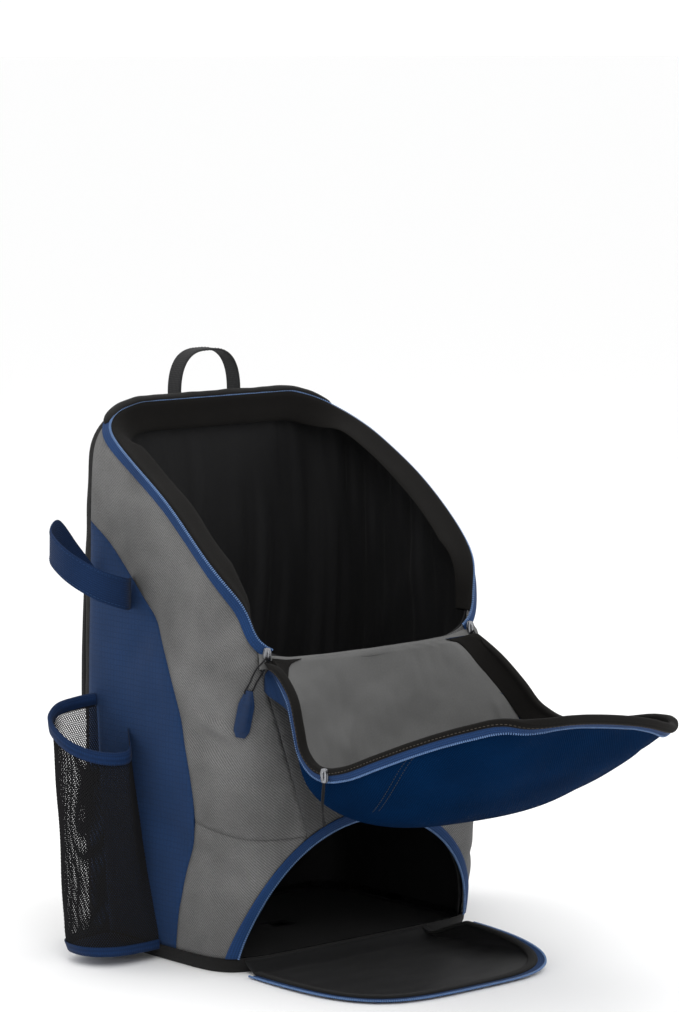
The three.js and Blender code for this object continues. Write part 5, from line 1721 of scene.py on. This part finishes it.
def stitchRow(name, path, normal, length, gap, thick, material, slot=None, lift=0.0):
    # a row of thread stitches lying on a cloth
    fine = evenly(path, length + gap)
    far = np.linspace(0, 1, len(path))
    at = np.linspace(0, 1, len(fine))
    up = unit(np.column_stack([np.interp(at, far, normal[:, k]) for k in range(3)]))
    along = alongLine(fine)
    shapes = []
    profile = [(-0.5, -0.35), (-0.34, 0.5), (0.34, 0.5), (0.5, -0.35)]
    for p, t, n in zip(fine, along, up):
        side = np.cross(t, n)
        ring = []
        for place, height in profile:
            half = thick * (0.35 if abs(place) > 0.4 else 0.5)
            centre = p + t * place * length + n * (height * thick * 0.5 + lift)
            ring += [centre + side * half, centre + n * half, centre - side * half, centre - n * half]
        faces = []
        for k in range(3):
            for m in range(4):
                q = (m + 1) % 4
                faces.append((k * 4 + m, k * 4 + q, k * 4 + 4 + q, k * 4 + 4 + m))
        faces += [(3, 2, 1, 0), (12, 13, 14, 15)]
        shapes.append((np.array(ring), faces))
    addShapes(name, shapes, material, slot=slot)


def ribbonOutline(width, thick, parts=6):
    # closed outline of a flat band: across and out
    return wideOutline(-width / 2, width / 2, -thick / 2, thick / 2, thick * 0.45, parts)


def ribbonGrid(line, widthways, outline):
    along = alongLine(line)
    across = unit(widthways - (widthways * along).sum(1)[:, None] * along)
    out = np.cross(along, across)
    return line[:, None] + across[:, None] * outline[None, :, :1] + out[:, None] * outline[None, :, 1:2], across, out


def makeBatStrap(side):
    half = strapValues["width"] / 2
    outline = ribbonOutline(strapValues["width"], strapValues["thick"] * 0.92, 6)
    outerLow, outerHigh = strapLine(0.0, -half), strapLine(0.0, half)
    innerLow, innerHigh = strapLine(strapValues["thick"], -half), strapLine(strapValues["thick"], half)
    grid = []
    for across, depth in outline:
        share, d = (across + half) / (2 * half), 0.5 - depth / strapValues["thick"]
        outer = outerLow * (1 - share) + outerHigh * share
        inner = innerLow * (1 - share) + innerHigh * share
        grid.append(outer * (1 - d) + inner * d)
    grid = np.stack(grid, axis=1)
    plan = lengthPlan(grid, outline[:, 0])
    bandPiece(
        "bat_strap_" + side + "_webbing", grid, plan, finishes["strap"], ["bat_strap_" + side], "navy_webbing", side
    )
    sign = -1 if side == "left" else 1
    for n, share in enumerate((0.09, 0.91)):
        path = (outerLow * (1 - share) + outerHigh * share)[3:-3]
        inner = (innerLow * (1 - share) + innerHigh * share)[3:-3]
        normal = unit(path - inner)
        path, normal = path * (sign, 1, 1), normal * (sign, 1, 1)
        stitchRow(
            f"bat_strap_{side}_stitch_{n}",
            path,
            normal,
            0.0026,
            0.0012,
            0.0006,
            finishes["blueThread"],
            "navy_webbing",
        )


for side in ("left", "right"):
    makeSleeve(side)
    makeBatStrap(side)
print("sleeves and bat straps done")


# Haul loop
loopValues = {"width": 0.020, "span": 0.074, "rise": 0.046, "thick": 0.0018}


def makeHaulLoop():
    y = backSeam + zipValues["tape"] + 0.0001 + loopValues["width"] / 2
    turn = np.linspace(0, math.pi, 91)
    flat = np.sign(np.cos(turn)) * np.abs(np.cos(turn)) ** 0.7
    z = bodyValues["height"] + 0.0003 + loopValues["thick"] * 0.6
    z = z + (loopValues["rise"] - loopValues["thick"]) * np.maximum(np.sin(turn), 0) ** 0.8
    line = evenly(np.column_stack([-loopValues["span"] / 2 * flat, np.full(len(turn), y), z]), 0.0016)
    outline = ribbonOutline(loopValues["width"], loopValues["thick"], 8)
    grid, across, out = ribbonGrid(line, np.tile((0.0, 1.0, 0.0), (len(line), 1)), outline)
    low = grid[..., 2] < bodyValues["height"] + 0.0004
    grid[..., 2] = np.where(low, bodyValues["height"] + 0.0004, grid[..., 2])
    bandPiece(
        "haul_loop_webbing", grid, lengthPlan(grid, outline[:, 0]), finishes["webbing"], ["haul_loop"], "dark_webbing"
    )
    for n, share in enumerate((-0.4, 0.4)):
        for face in (1, -1):
            path = line + across * share * loopValues["width"] + out * face * loopValues["thick"] / 2
            stitchRow(
                f"haul_loop_stitch_{n}_{face + 1}",
                path[2:-2],
                out[2:-2] * face,
                0.0026,
                0.0012,
                0.0005,
                finishes["thread"],
                "dark_webbing",
            )


makeHaulLoop()


# Shoulder straps behind the back
shoulderValues = {"width": 0.062, "pad": 0.011, "spacing": 0.10432, "tail": 0.024, "tailThick": 0.0018}
shoulderLine = [
    (0.46, 0.002, 0.962),
    (0.48, 0.05, 0.93),
    (0.51, 0.46, 0.89),
    (0.55, 0.72, 0.82),
    (0.63, 0.78, 0.68),
    (0.73, 0.66, 0.54),
    (0.84, 0.45, 0.41),
]
tailLine = [(0.86, 0.41, 0.395), (0.96, 0.27, 0.28), (1.07, 0.11, 0.17), (1.12, 0.002, 0.115), (1.14, 0.002, 0.08)]


def backY(x, z):
    half, _, back = sizesAt(z)
    n = bodyValues["squareness"]
    return back * np.maximum(1 - np.abs(x / half) ** n, 0) ** (1 / n)


def behindBack(rows, steps, side, lift):
    rows = np.array(rows)
    x = side * shoulderValues["spacing"] * rows[:, 0]
    z = rows[:, 2] * bodyValues["height"]
    y = backY(x, z) + 0.0003 + lift + shoulderValues["width"] * rows[:, 1]
    return roundSpline(np.column_stack([x, y, z]), steps)


def makeShoulderStrap(label, side):
    v = shoulderValues
    line = evenly(behindBack(shoulderLine, 240, side, v["pad"] / 2), 0.003)
    widthways = np.tile((1.0, 0.0, 0.0), (len(line), 1))
    outline = ribbonOutline(v["width"] - 0.002, v["pad"] * 0.5, 14)
    edge = 1 - (2 * outline[:, 0] / v["width"]) ** 6
    outline[:, 1] += np.sign(outline[:, 1]) * v["pad"] * 0.22 * np.maximum(edge, 0)
    grid, across, out = ribbonGrid(line, widthways, outline)
    ends = np.clip(np.minimum(np.arange(len(line)), np.arange(len(line))[::-1]) / 6, 0, 1)
    ends = np.sqrt(1 - (1 - ends) ** 2) * 0.6 + 0.4
    quilt = 0.0007 * ripple(grid.reshape(-1, 3), 0.06, 33 + (side > 0)).reshape(grid.shape[:2])
    shape = outline[None, :, 1] * ends[:, None] + np.sign(outline[None, :, 1]) * quilt
    grid = line[:, None] + across[:, None] * outline[None, :, :1] + out[:, None] * shape[..., None]
    seat = backY(np.clip(grid[..., 0], -0.15, 0.15), grid[..., 2]) + 0.0008
    grid[..., 1] = np.maximum(grid[..., 1], seat)
    piece = bandPiece(
        "shoulder_strap_" + label + "_pad",
        grid,
        lengthPlan(grid, outline[:, 0]),
        finishes["black"],
        ["shoulder_strap_" + label],
        "black_cloth",
    )
    for n, share in enumerate((-1, 1)):
        # edge binding of the strap
        band = wideOutline(-0.0045, 0.0045, -0.0034, 0.0034, 0.0026, 2)
        place = line + across * share * (v["width"] / 2 - 0.0045)
        grid = place[:, None] + across[:, None] * band[None, :, :1] + out[:, None] * band[None, :, 1:2] * ends[:, None, None]
        seat = backY(np.clip(grid[..., 0], -0.15, 0.15), grid[..., 2]) + 0.0006
        grid[..., 1] = np.maximum(grid[..., 1], seat)
        bandPiece(
            f"shoulder_strap_{label}_binding_{n}",
            grid,
            lengthPlan(grid, np.linspace(0, 0.02, len(band))),
            finishes["webbing"],
            slot="black_cloth",
        )
    tail = evenly(behindBack(tailLine, 160, side, v["tailThick"] / 2), 0.003)
    outline = ribbonOutline(v["tail"], v["tailThick"], 6)
    grid, across, out = ribbonGrid(tail, np.tile((1.0, 0.0, 0.0), (len(tail), 1)), outline)
    bandPiece(
        "strap_webbing_" + label + "_band",
        grid,
        lengthPlan(grid, outline[:, 0]),
        finishes["webbing"],
        ["strap_webbing_" + label],
        "dark_webbing",
    )


for label, side in (("left", -1), ("right", 1)):
    makeShoulderStrap(label, side)
print("loop and shoulder straps done")


# Sliders, cords and pull tabs
pullValues = {
    "slider": (0.008, 0.013),
    "cord": 0.003,
    "strand": 0.0015,
    "cordLength": 0.024,
    "tab": (0.015, 0.044, 0.0045),
    "proud": 0.004,
    "bend": 0.0042,
}


def frameOf(out, hang=(0, 0, 1)):
    up = unit(np.array(hang, float) - np.dot(hang, out) * out)
    return np.cross(up, out), up, out


def turned(points, middle, axes):
    return middle + points[:, :1] * axes[0] + points[:, 1:2] * axes[1] + points[:, 2:] * axes[2]


def roundedPlate(outline, bottom, top, edge):
    # plate with softened rims: rings of the outline, pulled in at top and bottom
    middle = outline.mean(0)
    away = outline - middle
    reach = np.linalg.norm(away, axis=1, keepdims=True)
    steps = ((0, 1), (0.4, 0.25), (1, 0))
    levels = [(bottom + edge * z, edge * pull) for z, pull in steps]
    levels += [(top - edge * z, edge * pull) for z, pull in steps[::-1]]
    rings = [np.column_stack([middle + away * (1 - pull / reach), np.full(len(outline), z)]) for z, pull in levels]
    points = np.vstack(rings)
    return points, outwardFaces(points, tubeFaces(len(rings), len(outline)))


def smoothOutline(corners, steps=5, reach=0.3):
    # a closed outline with rounded corners
    points = []
    for a, b, c in zip(np.roll(corners, 1, axis=0), corners, np.roll(corners, -1, axis=0)):
        first, last = b + (a - b) * reach, b + (c - b) * reach
        for s in np.linspace(0, 1, steps):
            points.append(first * (1 - s) ** 2 + 2 * b * s * (1 - s) + last * s**2)
    return np.array(points)


def roundTube(path, radius, sides=10):
    along = alongLine(path)
    normal = np.zeros_like(path)
    start = np.array((0.3, 0.5, 0.8))
    normal[0] = unit(start - (start @ along[0]) * along[0])
    for k in range(1, len(path)):
        normal[k] = unit(normal[k - 1] - (normal[k - 1] @ along[k]) * along[k])
    side = np.cross(along, normal)
    turn = np.linspace(0, 2 * math.pi, sides, endpoint=False)
    ring = normal[:, None] * np.cos(turn)[None, :, None] + side[:, None] * np.sin(turn)[None, :, None]
    points = (path[:, None] + ring * radius).reshape(-1, 3)
    return points, outwardFaces(points, tubeFaces(len(path), sides))


def sliderShapes(axes, middle):
    # body, nose and bridge of a zip slider
    width, length = pullValues["slider"]
    corners = np.array(
        [(-0.30, 0.5), (0.30, 0.5), (0.5, 0.12), (0.36, -0.5), (-0.36, -0.5), (-0.5, 0.12)]
    ) * (width, length)
    outline = smoothOutline(corners)
    post = smoothOutline(np.array([(-0.0012, 0.0015), (0.0012, 0.0015), (0.0012, 0.0045), (-0.0012, 0.0045)]))
    bridge = [(-0.0035, 0.0008), (-0.0030, 0.0017), (-0.0012, 0.0021)]
    bridge = [(0, y, z) for y, z in bridge] + [(0, -y, z) for y, z in bridge[:0:-1]] + [(0, 0.0036, 0.0008)]
    shapes = [roundedPlate(outline, -0.0020, -0.0008, 0.0003), roundedPlate(outline, 0, 0.0011, 0.0003)]
    shapes += [roundedPlate(post, -0.0009, 0.0001, 0.0001), roundTube(evenSpline(bridge, 14), 0.00075, 8)]
    return [(turned(points, middle, axes), faces) for points, faces in shapes]


def strands(path, out, twist, size):
    # two thin strands round a middle line
    along = alongLine(path)
    side = unit(np.cross(along, out))
    over = np.cross(side, along)
    far = np.linspace(0, 1, len(path))
    shapes = []
    for phase in (0, math.pi):
        angle = phase + twist * far
        offset = side * np.cos(angle)[:, None] + over * np.sin(angle)[:, None]
        shapes.append(roundTube(path + offset * size, size, 10))
    return shapes


def makePull(label, sideSign):
    seat = pullValues["proud"]
    y, z = -0.972 * bodyValues["front"], seamValues["fold"] + 0.009
    middle, out = onSide(sideSign, y, z, seat)
    axes = frameOf(out)
    node = "main_slider_" + label
    addShapes(node + "_metal", sliderShapes(axes, middle), finishes["metal"], [node], "slider_metal")
    end, _ = onSide(sideSign, y * 0.965, z - 0.0068 - pullValues["cordLength"], seat)
    width, length, thick = pullValues["tab"]
    rest, tabOut = onSide(sideSign, y * 0.95, end[2] - length / 2, seat)
    toTab = unit(rest - end)
    tabMiddle = end + toTab * (length / 2 + 0.0009)
    # the cord is a loop: down from the slider, round inside the tab and back
    right, _, _ = axes
    down = unit(end - middle)
    turn = np.linspace(0, math.pi, 13)[1:-1]
    bend = pullValues["bend"]
    half = [
        (0.0007, 0.0030, 0.0022),
        (0.0024, 0.0072, 0.0020),
        (0.0043, 0.0130, 0.0012),
        (0.0042, 0.0210, 0.0003),
        (0.0036, 0.0290, 0),
    ]
    low = [(bend * math.cos(a), 0.0360 + bend * math.sin(a), 0) for a in turn]
    loop = np.array([*half, (bend, 0.0350, 0), *low, (-bend, 0.0350, 0), *[(-x, d, h) for x, d, h in half[::-1]]])
    path = middle + loop[:, :1] * right + loop[:, 1:2] * down + loop[:, 2:] * out
    path = evenly(roundSpline(path, 160), 0.0007)
    node = "pull_cord_" + label
    cord = addShapes(
        node + "_loop", [roundTube(path, pullValues["strand"] / 2)], finishes["cord"], [node], "black_cord"
    )
    half = np.array([(0.28, -0.5), (0.5, -0.35), (0.5, 0.2), (0.22, 0.5)])
    corners = np.vstack([half, half[::-1] * (-1, 1)]) * (width, length)
    plate = roundedPlate(smoothOutline(corners, 4, 0.12), -thick / 2, thick / 2 - 0.0005, 0.0007)
    face = roundedPlate(smoothOutline(corners * (0.66, 0.78), 4, 0.12), thick / 2 - 0.0008, thick / 2, 0.0003)
    shapes = [(turned(points, tabMiddle, frameOf(tabOut, -toTab)), faces) for points, faces in (plate, face)]
    node = "pull_tab_" + label
    tab = addShapes(node + "_plastic", shapes, finishes["tab"], [node], "blue_plastic")
    length = float(farAlong(path)[-1])


def makeFlapSeam():
    # the seam that runs from the rim down across the flap's outer face
    share = np.linspace(0, 1, 60)
    for n, gap in enumerate((0.0, 0.016)):
        at, turn = 0.748 - 0.174 * share + gap, -0.93 + 0.33 * share
        path = flapPoint(at, turn)
        out = -flapInward(at, turn)
        relief = flapRelief(at[:, None], turn[:, None])[:, 0]
        path = path - out * relief[:, None]
        stitchRow(
            f"flap_seam_stitch_{n}", path, out, 0.0022, 0.0014, 0.0006, finishes["thread"], "navy_flap_cloth", 0.0001
        )


def makeRimStitches():
    at, turn = (v[:, 0] for v in rimPlaces([0.0026], 0.02, 0.003))
    out = -flapInward(at, turn)
    stitchRow(
        "flap_rim_stitch",
        flapPoint(at, turn) + out * 0.0032,
        out,
        0.0024,
        0.0016,
        0.0006,
        finishes["rimThread"],
        "brown_black_facing",
    )


makeFlapSeam()
makeRimStitches()


def makeFlapPull():
    out = -flapInward(0.49, -1)
    middle = flapPoint(0.49, -1) + out * pullValues["proud"] - (0, 0, 0.0045)
    axes = frameOf(out)
    addShapes("flap_slider_metal", sliderShapes(axes, middle), finishes["metal"], ["flap_slider"], "slider_metal")
    top = middle - (0, 0, 0.0068)
    low = top - (0, 0, 0.0384)
    path = evenly(roundSpline([top, (top + low) / 2 + out * 0.0018, low], 60), 0.0008)
    knot = evenSpline([low + (0, 0, 0.003), low + (0.0006, 0, 0.0012), low + (0, 0, -0.0002)], 8)
    shapes = strands(path, out, 3.4, pullValues["cord"] / 4) + [roundTube(knot, 0.0015, 12)]
    cord = addShapes("flap_pull_cord_strands", shapes, finishes["cord"], ["flap_pull_cord"], "black_cord")


for label, side in (("left", -1), ("right", 1)):
    makePull(label, side)
makeFlapPull()
print("sliders, cords and tabs done")


# Floor and light
def makeStage():
    floor = bpy.data.meshes.new("floor")
    floor.from_pydata([(-400, -400, 0), (400, -400, 0), (400, 400, 0), (-400, 400, 0)], [], [(0, 1, 2, 3)])
    pale, _, _, surface = shader("paleFloor", 0.9)
    surface.inputs["Base Color"].default_value = (0.93, 0.93, 0.93, 1)
    floor.materials.append(pale)
    ground = bpy.data.objects.new("floor", floor)
    bpy.context.scene.collection.objects.link(ground)
    world = bpy.data.worlds.new("studio")
    world.use_nodes = True
    world.node_tree.nodes["Background"].inputs[0].default_value = (1, 1, 1, 1)
    world.node_tree.nodes["Background"].inputs[1].default_value = 1.06
    bpy.context.scene.world = world
    for name, place, size, power in (
        ("keyLight", (-1.6, -2.4, 2.4), 1.4, 30),
        ("sideLight", (2.4, -1.6, 1.6), 1.6, 12),
        ("topLight", (0.2, 0.3, 2.8), 2.0, 16),
        ("backLight", (-1.5, 2.4, 1.8), 1.6, 8),
    ):
        lamp = bpy.data.lights.new(name, "AREA")
        lamp.size = size
        lamp.energy = power
        holder = bpy.data.objects.new(name, lamp)
        holder.location = place
        toward = Vector((0, -0.05, 0.25)) - Vector(place)
        holder.rotation_euler = toward.to_track_quat("-Z", "Y").to_euler()
        bpy.context.scene.collection.objects.link(holder)


makeStage()
bpy.context.scene.view_settings.view_transform = "Standard"
